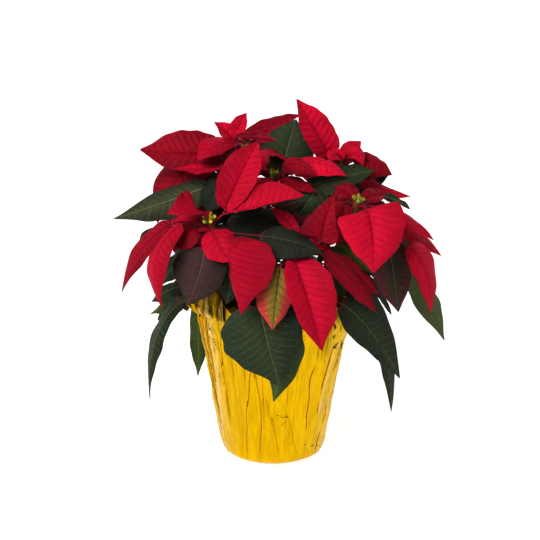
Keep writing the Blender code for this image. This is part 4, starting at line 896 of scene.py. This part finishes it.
# %% the finish of leaves and bracts
# The veins are drawn from the same count as the swellings, so they lie in the valleys between them.
def blade_finish(name, vein_strength, grain, **constants):
    finish = Finish(name, **constants)
    tone, vein = finish.attribute("tone"), finish.attribute("vein")
    place = finish.attribute("place", "Vector")
    edge, share, chance = place.part("X"), place.part("Y"), place.part("Z")
    spot = finish.start.node("UVMap", {"uv_map": "UVMap"})
    across, along = spot.part("X") * 100, spot.part("Y") * 100
    where = finish.start.node("CombineXYZ", values={"X": across, "Y": along, "Z": chance * 40})
    drift = finish.noise(where, 0.12, 2)
    reach = abs(across)
    count = (along - VEIN_SLOPE * reach + VEIN_BEND * reach * reach) / VEIN_SPACING + (drift - 0.5) * 0.35
    distance = (0.5 - abs(count.fraction() - 0.5)) * VEIN_SPACING
    bladed = share.step(0.0, 0.06)
    side_vein = (1 - distance.step(0.05, 0.55)) * (1 - edge.step(0.6, 1.0)) * bladed
    rib = (1 - (reach - 0.6 * (1 - share)).step(0.0, 0.5)) * bladed
    cells = finish.start.node("TexVoronoi", {"feature": "DISTANCE_TO_EDGE"}, {"Vector": where, "Scale": 0.42})
    net = (1 - cells.step(0.0, 0.12)) * bladed
    mottle = finish.noise(where, 0.35, 4, 0.6)
    clouds = finish.noise(where, 0.06, 2)
    lines = (side_vein * (0.3 + clouds * 0.8)).most(rib).most(net * 0.22) * vein_strength
    wrinkles = finish.noise(where, 0.9, 3, 0.7)
    shade = 0.5 + mottle * 0.5 + wrinkles * 0.26 + clouds * 0.26 - edge.step(0.86, 1.0) * 0.06
    grey = finish.start.node("CombineXYZ", values={"X": shade, "Y": shade, "Z": shade})
    base = finish.start.node("VectorMath", {"operation": "MULTIPLY"}, {0: tone, 1: grey})
    finish.set("Base Color", lines.blend(base, vein))
    finish.set("Roughness", 0.46 + mottle * 0.2 - rib * 0.08)
    height = 0 - side_vein * 0.5 - rib * 0.5 - net * 0.3 + mottle * 0.5 + wrinkles * 0.3
    fine = finish.noise(where, 2.6, 2)
    coarse_bump = finish.bump(height, 0.0008)
    finish.set("Normal", finish.bump(fine, 0.00006 * grain, onto=coarse_bump))
    return finish.material


bract_finish = blade_finish("red_velvet_bract", 0.32, 1.5, Sheen_Weight=0.03, Sheen_Roughness=0.4,
                            Sheen_Tint=(1, 0.1, 0.2, 1), Specular_IOR_Level=0.16)
leaf_finish = blade_finish("dark_green_leaf", 0.85, 1.0, Specular_IOR_Level=0.26)


# %% [markdown]
# ## Branches
# Each branch is a smooth green stem that turns woody and brown low down, with a slight ring at each
# joint where a leaf fell or grows. It ends in the swollen head that the bract stalks spring from.

# %% a branch as a pipe
def smooth_line(points, steps):
    """More points along a line, on a curve through all of them."""
    points = [np.array(tuple(p)) for p in points]
    points = [points[0] * 2 - points[1], *points, points[-1] * 2 - points[-2]]
    line = []
    for before, near, far, after in zip(points, points[1:], points[2:], points[3:]):
        for step in range(steps):
            t = step / steps
            line.append(0.5 * (2 * near + (far - before) * t + (2 * before - 5 * near + 4 * far - after) * t**2
                               + (3 * near - before - 3 * far + after) * t**3))
    line.append(points[-2])
    return np.array(line)


def fine_branch(heap, head):
    line = smooth_line(branch_points(head), 9)
    share = np.linspace(0, 1, len(line))
    radii = BRANCH_RADIUS_LOW + (BRANCH_RADIUS_HIGH - BRANCH_RADIUS_LOW) * share
    turn = np.linspace(0, 2 * np.pi, 14, endpoint=False)
    rings = 0.35 * np.exp(-(((share * 9) % 1 - 0.5) / 0.09) ** 2)[:, None]
    relief = rings + 0.12 * np.sin(turn * 5 + share[:, None] * 9)
    age = smooth(share, 0.05, 0.45)[:, None, None]
    tone = colour(96, 78, 50) * (1 - age) + colour(86, 104, 58) * age
    tone = tone * (1 + 0.15 * np.sin(share * 37))[:, None, None]
    pipe(heap, line, radii, np.broadcast_to(tone, (len(line), 14, 3)), 14, relief, place=(0.5, 0, 0.3))


def receptacle(heap, head):
    axis, hub = np.array(Vector(head.axis).normalized()), np.array(head.hub)
    share = np.linspace(0, 1, 12)
    line = (hub - axis * RECEPTACLE_LENGTH) + axis * RECEPTACLE_LENGTH * share[:, None]
    radii = BRANCH_RADIUS_HIGH + (RECEPTACLE_RADIUS - BRANCH_RADIUS_HIGH) * smooth(share, 0, 1)
    tone = colour(98, 112, 56) * (1 - share[:, None, None]) + colour(150, 60, 50) * share[:, None, None]
    pipe(heap, line, radii, np.broadcast_to(tone, (12, 16, 3)), 16, place=(0.5, 0, 0.3))


# %% inner leaves
# The plain frame has room for so many leaves only. These further ones close the view through the crown,
# each on a stalk from its branch and clear of every other blade.
INNER_LEAVES = [
    ("back", leaf(0.57, (-37, 50, 259), (-61, 45, 271), (-86, 40, 272), 13, 13, (0.5, -1, 0.8), 8, "oval")),
    ("back_left", leaf(0.43, (-87, 84, 169), (-112, 79, 157), (-138, 75, 134), 12, 12, (-0.3, -1, 0.8), 8, "oval")),
    ("upper_right", leaf(0.86, (134, 32, 327), (112, 36, 314), (90, 39, 292), 12, 12, (0.5, -1, 0.5), 8, "oval")),
    ("front_left", leaf(0.86, (-115, -59, 272), (-131, -57, 270), (-147, -54, 258), 9, 9, (0, -1, 0.3), 8, "oval")),
    ("upper_left", leaf(0.71, (-49, 32, 307), (-68, 31, 315), (-87, 31, 312), 9, 9, (-0.2, -1, 0.9), 8, "oval")),
    ("left", leaf(0.57, (-111, 11, 200), (-105, 15, 186), (-99, 20, 162), 12, 12, (0.1, -1, 0.6), 8, "oval")),
    ("side_right", leaf(0.86, (139, 39, 248), (151, 43, 237), (163, 47, 216), 10, 10, (-0.1, -1, 0.9), 8, "oval")),
    ("middle", leaf(0.85, (-6, -12, 279), (-5, -37, 275), (-5, -63, 257), 15, 15, (0.1, 0.1, 1), 6, "plain")),
    ("left", leaf(0.48, (-57, -1, 198), (-80, -8, 201), (-103, -15, 190), 17, 17, (0.4, 0.4, 1), 6, "plain")),
    ("back_low", leaf(0.6, (7, 90, 209), (12, 111, 204), (17, 132, 186), 17, 17, (0.4, -0.4, 1), 6, "plain")),
    ("front_left", leaf(0.6, (-60, -61, 222), (-79, -85, 222), (-98, -110, 208), 16, 16, (0.1, 0.2, 1), 6, "plain")),
    ("upper_right", leaf(0.79, (73, 19, 279), (83, -6, 282), (93, -31, 271), 17, 17, (-0.3, -0.3, 1), 6, "plain")),
    ("front", leaf(0.77, (26, -90, 225), (35, -111, 224), (44, -131, 209), 17, 17, (-0.4, -0.3, 1), 6, "plain")),
    ("back_low", leaf(0.7, (-13, 79, 215), (-43, 89, 219), (-73, 99, 210), 13, 13, (0.2, -0.2, 1), 6, "plain")),
    ("upper_right", leaf(0.75, (47, 31, 285), (22, 26, 283), (-4, 21, 267), 17, 17, (0.1, -0.1, 1), 6, "plain")),
    ("middle", leaf(0.74, (-3, 22, 288), (4, 55, 301), (10, 87, 301), 16, 16, (-0.5, 0, 1), 6, "plain")),
    ("back", leaf(0.73, (-22, 80, 306), (-17, 113, 309), (-12, 145, 298), 16, 16, (-0.2, -0.2, 1), 6, "plain")),
    ("upper_left", leaf(0.83, (-27, 3, 301), (-21, -21, 304), (-16, -45, 293), 13, 13, (-0.1, -0.3, 1), 6, "plain")),
    ("upper_right", leaf(0.88, (86, 48, 317), (109, 72, 318), (133, 96, 304), 18, 18, (-0.4, 0.4, 1), 6, "plain")),
    ("right", leaf(0.86, (63, -28, 270), (38, -4, 271), (12, 20, 259), 14, 14, (0.3, -0.1, 1), 6, "plain")),
]
for head in HEADS:
    inner = [blade for name, blade in INNER_LEAVES if name == head.name]
    placed[head.name][1].extend((blade, blade_base(head, blade, 0)) for blade in inner)

# %% build every branch and bloom
blade_count = 0
for head in HEADS:
    bracts, leaves = placed[head.name]
    foliage, whorl = Heap(), Heap()
    fine_branch(foliage, head)
    receptacle(whorl, head)
    for blades, heap in ((leaves, foliage), (bracts, whorl)):
        for blade, base in blades:
            blade_count += 1
            fine_blade(heap, blade, base, blade_count)
    settle(foliage.piece("foliage_" + head.name, leaf_finish), "branch_" + head.name)
    settle(whorl.piece("whorl_" + head.name, bract_finish), "bloom_" + head.name)
    print(head.name, "points", foliage.count, whorl.count)

# %% [markdown]
# ## The true flowers
# The cyathia are little green cups, each with a yellow lip-shaped gland on its side, and dark red stamens
# with yellow tips standing out of the mouth. They are waxy and shine a little.

# %% cups, glands and stamens
UNRIPE = ("right", "middle", "upper_right", "upper_left")
CUP_SHAPE = [(0.0, 0.55), (0.12, 0.8), (0.35, 1.0), (0.62, 1.02), (0.85, 0.82), (0.97, 0.62), (1.0, 0.45),
             (0.95, 0.35)]


def turned_skin(heap, foot, axis, profile, tone, sides=18, place=(0, 0, 0)):
    """A skin turned about an axis. profile has (height, radius) pairs in mm."""
    heights, radii = np.array(profile).T
    axis = np.array(axis)
    across = np.array(Vector(axis).orthogonal().normalized())
    other = np.cross(axis, across)
    turn = np.linspace(0, 2 * np.pi, sides, endpoint=False)
    ring = np.cos(turn)[:, None] * across + np.sin(turn)[:, None] * other
    rings = np.array(foot) + axis * heights[:, None, None] + ring[None] * radii[:, None, None]
    heap.loft(rings, tone, place=place)


def ball(heap, centre, axis, radius, long, tone, sides=12):
    turns = np.linspace(0.02, np.pi - 0.02, 9)
    profile = list(zip(-np.cos(turns) * long, np.sin(turns) * radius))
    turned_skin(heap, centre, axis, profile, tone, sides)


def fine_cyathia(heap, head, seed):
    draw = random.Random(seed)
    axis, hub = Vector(head.axis).normalized(), Vector(head.hub)
    to_axis = Vector((0, 0, 1)).rotation_difference(axis).to_matrix()
    seat = hub + axis * TOUCH_GAP / MM
    spread = head.cups * CUP_SPACING
    cushion = [(0, RECEPTACLE_RADIUS * 0.6), (CUP_STALK * 0.5, spread * 0.6), (CUP_STALK, spread * 0.95),
               (CUP_STALK + 0.8, spread * 0.5)]
    turned_skin(heap, seat, axis, cushion, colour(112, 130, 52), 24)
    for number in range(head.cups + 1):
        angle = number * 2 * math.pi / head.cups
        ring = spread if number < head.cups else 0
        out = Vector((math.cos(angle), math.sin(angle), 0))
        lean = (Vector((0, 0, 1)) + out * (0.25 if ring else 0)).normalized()
        height = CUP_STALK - CUP_LENGTH * 0.2
        foot = seat + to_axis @ (out * ring + Vector((0, 0, height)) - out * (0.6 if ring else 0))
        up, outward = to_axis @ lean, to_axis @ out
        profile = [(h * CUP_LENGTH, r * CUP_RADIUS) for h, r in CUP_SHAPE]
        green = colour(134 + draw.randint(-12, 12), 152, 48)
        turned_skin(heap, foot, up, profile, green)
        gland = foot + up * CUP_LENGTH * 0.78 + outward * CUP_RADIUS * 0.85
        flat = (outward + up * 0.5).normalized()
        ripe = head.name not in UNRIPE
        ball(heap, gland, flat, 2.1, 1.3, colour(252, 220, 14) if ripe else colour(150, 160, 44))
        ball(heap, gland + flat * 1.0, flat, 1.0, 0.45, colour(240, 190, 10) if ripe else colour(170, 150, 40))
        for stamen in range(5):
            bend = stamen * 2 * math.pi / 5 + draw.uniform(0, 1)
            away = to_axis @ Vector((math.cos(bend), math.sin(bend), 0)) * 0.7
            mouth = foot + up * CUP_LENGTH * 0.9 + away * 0.4
            end = mouth + up * draw.uniform(1.2, 2.2) + away
            pipe(heap, [mouth, (mouth + end) / 2 + away * 0.1, end], (0.28, 0.24, 0.22), colour(150, 16, 24), 6)
            ball(heap, end, up, 0.42, 0.36, colour(226, 190, 60) if stamen % 2 else colour(168, 20, 26), 8)


def waxy_finish(name):
    finish = Finish(name, Specular_IOR_Level=0.5)
    tone = finish.attribute("tone")
    where = finish.start.node("TexCoord", output=3)
    mottle = finish.noise(where, 900, 3)
    finish.set("Base Color", mottle.step(0.3, 0.75).blend(tone, finish.start.node(
        "VectorMath", {"operation": "SCALE"}, {0: tone, "Scale": 0.72})))
    finish.set("Roughness", 0.32 + mottle * 0.2)
    finish.set("Normal", finish.bump(mottle, 0.00015))
    return finish.material


cup_finish = waxy_finish("waxy_flower_cups")
for number, head in enumerate(HEADS):
    heap = Heap()
    fine_cyathia(heap, head, number)
    settle(heap.piece("flowers_" + head.name, cup_finish), "cyathia_" + head.name)

# %% [markdown]
# ## The foil cover
# The cover is a sheet of gold metallised film, gathered round the pot. The gathers make upright pleats of
# all widths, each a smooth swell that ends in a sharp tuck, and they lean and merge on their way up.
# A crumpled neck grips the pot's rim, and above it the film flares out into a ruffled lip.

# %% pleats
COVER_AROUND = 460
draw = random.Random(23)
pleat_widths = np.array([draw.choice((0.55, 0.8, 1.0, 1.3, 1.9)) * draw.uniform(0.8, 1.2) for _ in range(38)])
pleat_edges = np.concatenate([[0], np.cumsum(pleat_widths)]) / pleat_widths.sum() * 2 * np.pi
pleat_leans = np.array([draw.uniform(-1, 1) for _ in range(38)] + [0])
pleat_leans[-1] = pleat_leans[0]
pleat_depths = np.array([draw.uniform(0.35, 1.25) for _ in range(38)])
pleat_starts = np.array([draw.choice((-30, -30, 0, 25, 60)) for _ in range(38)])

# Long folds that cross the pleats: their depth in mm, and their points as (degrees, height).
FOLDS = [
    (0.8, [(252.8, 127), (244.1, 62), (239.8, 10)]), (0.8, [(253.6, 127), (258.8, 64), (255.6, 14)]),
    (0.7, [(262.3, 88), (277.3, 14)]), (0.6, [(280.1, 77), (297.7, 12)]), (0.4, [(228.3, 58), (226.9, 14)]),
    (0.9, [(307, 128), (304.0, 109), (305.4, 39)]), (1.7, [(331, 150), (327, 141), (318.8, 79), (317, 60)]),
    (1.3, [(338.7, 62), (325.6, 8)]), (1.4, [(345, 152), (334.4, 83), (338.2, 52)]), (1.2, [(352, 120), (349, 12)]),
    (1.7, [(213, 156), (210.4, 133), (209.0, 84), (199.4, 18)]), (1.4, [(207.5, 160), (217.3, 128), (204, 60)]),
    (0.8, [(225.7, 148), (220.5, 86)]), (1.3, [(193, 150), (190, 12)]), (0.9, [(60, 140), (68, 40)]),
    (0.7, [(84, 120), (77, 12)]), (1.0, [(118, 150), (110, 30)]), (0.9, [(150, 140), (157, 14)]),
]


def pleats(height, angle):
    """At each angle of one height: radius to add, distance to a painted dark crease line, its strength, and the painted
    highlight beside deep folds.
    """
    lean = pleat_leans * 0.045 * (height / 150) ** 1.3
    count = np.interp(angle, pleat_edges + lean, np.arange(39.0), period=None)
    number = np.clip(count.astype(int), 0, 37)
    share = count - number
    grown = smooth(height, pleat_starts[number], pleat_starts[number] + 45)
    flank = 1 + 1.1 * np.abs(np.cos(angle)) ** 6
    depth = pleat_depths[number] * grown * (0.45 + 1.15 * min(height, 160) / 160) * flank
    width = pleat_widths[number] / pleat_widths.sum() * 2 * np.pi * 70
    nearest = np.where(share < 0.5, share, share - 1) * width
    weight = grown * (0.15 + 0.5 * np.abs(np.cos(angle)) ** 4)
    added = depth * (share**1.6 * 1.5 - 0.6)
    pale = np.zeros(len(angle))
    for deep, points in FOLDS:
        at, level = np.array(points[::-1]).T
        if level[0] < height < level[-1]:
            ends = min(1, (height - level[0]) / 8, (level[-1] - height) / 8)
            kink = np.interp(height, level, at) + 0.12 * math.sin(height * 1.1) + 0.35 * math.sin(height * 0.17)
            away = (np.degrees(angle) - kink) * (0.98 + height * 0.0027)
            added = added + deep * ends * (np.exp(-(((away - 2.4) / 2.2) ** 2)) - 1.1 * np.exp(-((away / 1.0) ** 2)))
            closer = np.abs(away) < 2.4
            nearest = np.where(closer, away, nearest)
            weight = np.where(closer, ends * min(1, deep * deep), weight)
            # A painted highlight strip beside each deep fold.
            pale = pale + max(0, deep - 0.9) * ends * np.exp(-(((away - 3.4) / 1.8) ** 2))
    closeness = weight * np.clip((2.4 - np.abs(nearest)) / 1.2, 0, 1)
    return added, np.clip(nearest, -3, 3), closeness, pale


# %% the whole sheet
def film_rows():
    """(share of the way up to the neck, share of the lip) of each row, from the foot's middle up."""
    foot = [(-radius, 0.0) for radius in (6, 18, 30, 40)]
    body = [(share, 0.0) for share in np.linspace(0, 1, 78)]
    lip = [(1.0, share) for share in np.linspace(0, 1, 22)[1:]]
    return foot + body + lip


def near(turn, degrees, spread):
    """1 at a compass angle of the lip, falling away on both sides."""
    away = (np.degrees(turn) - degrees + 180) % 360 - 180
    return np.exp(-((away / spread) ** 2))


def film_sheet(inset):
    """Rings of the cover's sheet, and its marks of painted shade and highlight. inset moves it inward in mm."""
    turn = np.linspace(0, 2 * np.pi, COVER_AROUND, endpoint=False)
    neck = NECK_HEIGHT + NECK_TILT * np.cos(turn - NECK_TILT_TOWARDS)
    heights, radii = np.array([(height, radius) for height, radius in COVER_PROFILE]).T
    rings, marks = [], []
    for body, lip in film_rows():
        if body <= 0:
            radius = np.full(COVER_AROUND, max(-body, 0) if body < 0 else heights[0] + 46.0)
            height = np.full(COVER_AROUND, 0.0)
            rise = body
            line, strength, pale = np.full(COVER_AROUND, 3.0), np.zeros(COVER_AROUND), np.zeros(COVER_AROUND)
        else:
            height = neck * body
            radius = np.array([np.interp(h, [*heights, n], [*radii, NECK_RADIUS]) for h, n in zip(height, neck)])
            added, line, strength, pale = pleats(float(height.mean()), turn)
            radius = radius + added * smooth(body, 0, 0.06)
        if lip:
            added, line, strength, pale = pleats(165.0, turn)
            zigzag = LIP_ZIGZAG * np.sin(LIP_POINTS * turn) + added * 1.2 + 9 * near(turn, 221, 10)
            zigzag = zigzag - 10 * near(turn, 188, 12)
            height = height + (LIP_HEIGHT + zigzag) * lip
            inward = sum(near(turn, at, 15) for at in (20, 75, 130, 219, 296, 325))
            radius = NECK_RADIUS + (LIP_RADIUS - NECK_RADIUS) * np.sqrt(lip) * (1 - inward * lip)
            radius = radius - inward * 6 * lip**2
            radius = radius + added * (1 + lip * 0.9) + 1.6 * lip * np.sin(turn * 17 + 1)
        grip = np.exp(-(((height - neck) / 5) ** 2)) * (1.8 if body > 0.5 else 0)
        crumple = np.array([
            abs(noise.noise((3 * math.cos(a) + 7, 3 * math.sin(a), h / 26)))
            + 0.5 * abs(noise.noise((8 * math.cos(a), 8 * math.sin(a) + 5, h / 11)))
            for a, h in zip(turn, height)
        ])
        if body > 0:
            radius = radius - grip + crumple * (1.5 + 1.2 * lip + grip) - 0.5
        radius = radius - inset
        rings.append(np.stack([radius * np.cos(turn), radius * np.sin(turn), height + (inset if body <= 0 else 0)], -1))
        # Painted shade on the left of the lip, where it lies in its own shade, and a painted dark reflection of the
        # leaves in streaks just under the neck on the right front. The painted highlight beside deep folds goes in as
        # negative values.
        jag = 0.12 * np.abs(np.sin(turn * 61)) + 0.1 * np.abs(np.sin(turn * 37 + 1))
        dark = near(turn, 219, 19) * smooth(lip - jag, 0.0, 0.05)
        painted_leaf_reflection = near(turn, 313, 10) * smooth(body, 0.78, 0.9) * smooth(np.sin(turn * 88) + np.sin(turn * 53), -0.3, 0.5)
        marks.append(np.stack([line, strength, dark + 0.8 * painted_leaf_reflection * (lip < 0.4) - pale * (lip == 0)], -1))
    return np.array(rings), np.array(marks)


outer, marks = film_sheet(0)
outer[..., 2] = np.maximum(outer[..., 2], 0)
inner, _ = film_sheet(0.45)
film = Heap()
rings = np.concatenate([outer, inner[::-1]])
shade_marks = np.concatenate([marks, marks[::-1]])
film.loft(rings, colour(238, 190, 20), place=shade_marks, cap=True)
print("cover points", film.count, "width in mm", round(float(np.ptp(outer[..., 0])), 1))

# %% gold film
# A thin metal coating under a clear face: mirror-like but for fine crinkles. Its colour holds painted orange-brown
# shade in the tucks, where it reflects itself over and over, painted shade in tiny crinkles, painted highlights and a
# painted dark reflection of the leaves.
def film_finish():
    finish = Finish("gold_film", Metallic=1.0, Coat_Weight=0.06, Coat_Roughness=0.1, Coat_IOR=1.6)
    place = finish.attribute("place", "Vector")
    line, strength, shade = place.part("X"), place.part("Y"), place.part("Z")
    where = finish.start.node("TexCoord", output=3)
    upright = finish.start.node("VectorMath", {"operation": "MULTIPLY"}, {0: where, 1: (1, 1, 0.09)})
    flat = finish.start.node("VectorMath", {"operation": "MULTIPLY"}, {0: where, 1: (0.45, 0.45, 1.6)})
    streaks = finish.noise(upright, 150, 3, 0.55)
    lines = finish.noise(upright, 330, 2, 0.5)
    patches = finish.noise(where, 26, 2)
    # Painted orange-brown shade along the pleats' tucks and along thin random creases.
    creases = (1 - abs(lines - 0.5).step(0.0, 0.02)) * patches.step(0.5, 0.62)
    crease_shade_mask = ((1 - abs(line).step(0.15, 0.75)) * strength).most(creases * 0.4)
    # Painted shade in tiny crinkles, which the bump also dents.
    crinkle_dents_and_shade = finish.noise(flat, 420, 2, 0.5).step(0.64, 0.67) * finish.noise(where, 26, 1).step(0.61, 0.66)
    gold = streaks.step(0.3, 0.7).blend((0.65, 0.41, 0.0004), (0.77, 0.50, 0.001))
    # Painted pale highlight beside the deep folds.
    highlighted_gold = ((0 - shade) * (0.5 + patches) * 1.1).least(0.65).most(0).blend(gold, (0.84, 0.64, 0.34))
    # Painted shade on the left of the lip and painted dark reflection in the streaks under the neck.
    shaded = (shade * 0.85).most(0).blend(highlighted_gold, (0.20, 0.13, 0.001))
    crease_shaded_gold = (crease_shade_mask * 0.95).blend(shaded, (0.17, 0.035, 0.003))
    finish.set("Base Color", (crinkle_dents_and_shade * 0.9).blend(crease_shaded_gold, (0.08, 0.06, 0.004)))
    finish.set("Roughness", 0.17 + streaks * 0.14 + crease_shade_mask * 0.1)
    height = streaks * 0.7 + lines * 0.5 - crinkle_dents_and_shade * 0.4
    finish.set("Normal", finish.bump(height, 0.0007))
    return finish.material


settle(film.piece("gold_film_cover", film_finish(), crease=38), "foil_cover")

# %% [markdown]
# ## Pot, soil and woody stem
# Inside the cover is the grower's plastic pot, moulded in dull dark green, with a stepped rim.
# The soil is peat with crumbs and pale grains. The main stem is woody, with fine upright cracks.

# %% nursery pot
foot = COVER_WALL / MM + TOUCH_GAP / MM
rim = foot + POT_HEIGHT
band = rim - POT_BAND_HEIGHT
heel = foot + POT_HEEL_HEIGHT
pot_profile = [
    (foot + 0.3, 0.5), (foot, POT_FOOT_RADIUS), (heel, POT_HEEL_RADIUS), (band - 1, POT_SIDE_RADIUS),
    (band, POT_SIDE_RADIUS + 0.6), (band + 1, POT_BAND_RADIUS), (rim - 5, POT_RIM_RADIUS - 1.2),
    (rim - 3.5, POT_RIM_RADIUS - 0.2), (rim - 0.6, POT_RIM_RADIUS), (rim, POT_RIM_RADIUS - 0.4),
    (rim, POT_RIM_RADIUS - POT_WALL + 0.3), (rim - 0.5, POT_RIM_RADIUS - POT_WALL),
    (band + 1, POT_SIDE_RADIUS - POT_WALL + 1), (band, POT_SIDE_RADIUS - POT_WALL),
    (heel, POT_HEEL_RADIUS - POT_WALL), (foot + POT_WALL, POT_FOOT_RADIUS - 0.7), (foot + POT_WALL, 0.5),
]
pot = Heap()
turned_skin(pot, (0, 0, 0), (0, 0, 1), pot_profile, colour(30, 44, 34), 120)
plastic = Finish("moulded_plastic", Specular_IOR_Level=0.45)
where = plastic.start.node("TexCoord", output=3)
pebble = plastic.noise(where, 1400, 3)
dust = plastic.noise(where, 45, 4, 0.65)
plastic.set("Base Color", dust.step(0.45, 0.8).blend((0.012, 0.024, 0.014), (0.035, 0.038, 0.03)))
plastic.set("Roughness", 0.42 + dust * 0.25)
plastic.set("Normal", plastic.bump(pebble, 0.0001))
settle(pot.piece("grower_pot", plastic.material), "nursery_pot")

# %% soil
SOIL_RINGS = 56
turn = np.linspace(0, 2 * np.pi, 180, endpoint=False)
inner_foot, inner_band = POT_FOOT_RADIUS - POT_WALL - 0.8, POT_SIDE_RADIUS - POT_WALL - 0.8
rings = []
for height, radius in ((foot + POT_WALL + 0.6, 1), (foot + POT_WALL + 0.6, inner_foot), (band, inner_band)):
    rings.append([(radius * math.cos(a), radius * math.sin(a), height) for a in turn])
for step in range(SOIL_RINGS + 1):
    share = step / SOIL_RINGS
    ring = []
    for a in turn:
        radius = inner_band + (STEM_RADIUS + 0.4 - inner_band) * share
        spot = Vector((radius * math.cos(a), radius * math.sin(a), 0))
        lump = noise.noise(spot / 9) * 1.4 + noise.noise(spot / 3.2) * 1.1 + abs(noise.noise(spot / 1.7)) * 1.3
        ring.append((spot.x, spot.y, SOIL_TOP + SOIL_MOUND * share + lump - 0.6))
    rings.append(ring)
earth = Heap()
earth.loft(np.array(rings), colour(48, 34, 26), cap=True)
peat = Finish("damp_peat", Roughness=0.95, Specular_IOR_Level=0.2)
where = peat.start.node("TexCoord", output=3)
crumbs = peat.noise(where, 420, 5, 0.7)
grains = peat.start.node("TexVoronoi", values={"Vector": where, "Scale": 260})
peat_tone = crumbs.step(0.3, 0.75).blend((0.008, 0.005, 0.003), (0.05, 0.03, 0.018))
peat.set("Base Color", (1 - grains.step(0.1, 0.16)).blend(peat_tone, (0.22, 0.19, 0.15)))
peat.set("Normal", peat.bump(crumbs + grains * 0.5, 0.0012))
settle(earth.piece("peat", peat.material, crease=80), "potting_soil")

# %% main stem and its forks
stem = Heap()
line = np.array([(0, 0, z) for z in np.linspace(STEM_FOOT, STEM_TOP, 60)])
turn = np.linspace(0, 2 * np.pi, 36, endpoint=False)
grooves = 0.35 * np.abs(np.sin(turn * 6 + np.sin(line[:, 2:] * 0.3) * 1.2)) - 0.3
radii = STEM_RADIUS + (STEM_TOP_RADIUS - STEM_RADIUS) * smooth(line[:, 2], STEM_FOOT, STEM_TOP)
pipe(stem, line, radii, colour(112, 92, 66), 36, grooves)
for head in HEADS:
    if head.tier != "top":
        start, end, _ = fork(head)
        line = np.linspace(start, end, 16)
        turn = np.linspace(0, 2 * np.pi, 18, endpoint=False)
        pipe(stem, line, np.full(16, FORK_RADIUS - 0.15), colour(106, 92, 62), 18, 0.12 * np.sin(turn * 5)[None])
bark = Finish("young_bark", Specular_IOR_Level=0.3)
where = bark.start.node("TexCoord", output=3)
drawn = bark.start.node("VectorMath", {"operation": "MULTIPLY"}, {0: where, 1: (1, 1, 0.18)})
cracks = bark.noise(drawn, 700, 4, 0.65)
patches = bark.noise(where, 110, 3)
bark_tone = patches.step(0.35, 0.7).blend((0.16, 0.115, 0.06), (0.1, 0.09, 0.045))
bark.set("Base Color", cracks.step(0.5, 0.66).blend(bark_tone, (0.035, 0.022, 0.012)))
bark.set("Roughness", 0.7 + cracks * 0.25)
bark.set("Normal", bark.bump(1 - cracks, 0.0006))
settle(stem.piece("bark_stem", bark.material), "main_stem")

# %% [markdown]
# ## Floor, light and camera
# The plant stands on a plain pale floor under a broad white sky, as in a shop's product photograph,
# with one large soft lamp high in front on the left. The camera looks down a little, from far enough
# away that the pot hardly tapers.

# %% floor
bm = bmesh.new()
bmesh.ops.create_grid(bm, x_segments=24, y_segments=24, size=6)
for vert in bm.verts:
    vert.co.z = max(0.0, vert.co.y - 3) ** 2 * 0.5 - 0.0002
ground_mesh = bpy.data.meshes.new("ground")
bm.to_mesh(ground_mesh)
bm.free()
ground = bpy.data.objects.new("ground", ground_mesh)
bpy.context.scene.collection.objects.link(ground)
paper = Finish("pale_floor", Roughness=0.9, Specular_IOR_Level=0.1)
where = paper.start.node("TexCoord", output=3)
paper.set("Base Color", paper.noise(where, 3).blend((0.34, 0.34, 0.34), (0.36, 0.36, 0.36)))
# Far from the lamp the paper glows a little, so that it stays white to the horizon.
away = where.part("X") ** 2 + where.part("Y") ** 2
paper.set("Emission Color", away.step(0.1, 2.5).blend((0.84, 0.84, 0.84), (0.92, 0.92, 0.92)))
paper.set("Emission Strength", 1.0)
ground_mesh.materials.append(paper.material)

# %% light
# The sky is white round the horizon, which makes the backdrop, and dimmer overhead, so that the lamp
# gives the blades a light side and a shaded side.
world = bpy.data.worlds.new("white_sky")
bpy.context.scene.world = world
world.use_nodes = True
sky = Term(world.node_tree)
direction = sky.node("TexCoord", output=0)
overhead = direction.part("Z").step(0.14, 0.55)
shades = overhead.blend((1, 1, 1), (0.07, 0.07, 0.075))
background = world.node_tree.nodes["Background"]
world.node_tree.links.new(shades.socket, background.inputs["Color"])
background.inputs["Strength"].default_value = 1.0


def lamp(name, place, aim, size, power):
    light = bpy.data.lights.new(name, "AREA")
    light.size = size
    light.energy = power
    made = bpy.data.objects.new(name, light)
    made.location = place
    made.rotation_euler = (Vector(aim) - Vector(place)).to_track_quat("-Z", "Y").to_euler()
    bpy.context.scene.collection.objects.link(made)


lamp("key", (-0.95, -1.35, 1.75), (0, 0, 0.2), 1.5, 68)
lamp("back_fill", (1.2, 1.4, 1.5), (0, 0, 0.2), 1.2, 16)
bpy.context.scene.view_settings.view_transform = "Standard"
bpy.context.scene.view_settings.gamma = 0.76

# %% camera
eye = bpy.data.cameras.new("camera")
eye.lens = 100
eye.sensor_width = 36
eye.dof.use_dof = False
camera = bpy.data.objects.new("camera", eye)
distance, tilt = 1.70, math.radians(15)
target = Vector((-0.0035, 0, 0.2166))
camera.location = target + Vector((0, -math.cos(tilt), math.sin(tilt))) * distance
camera.rotation_euler = (math.pi / 2 - tilt, 0, 0)
bpy.context.scene.collection.objects.link(camera)
bpy.context.scene.camera = camera
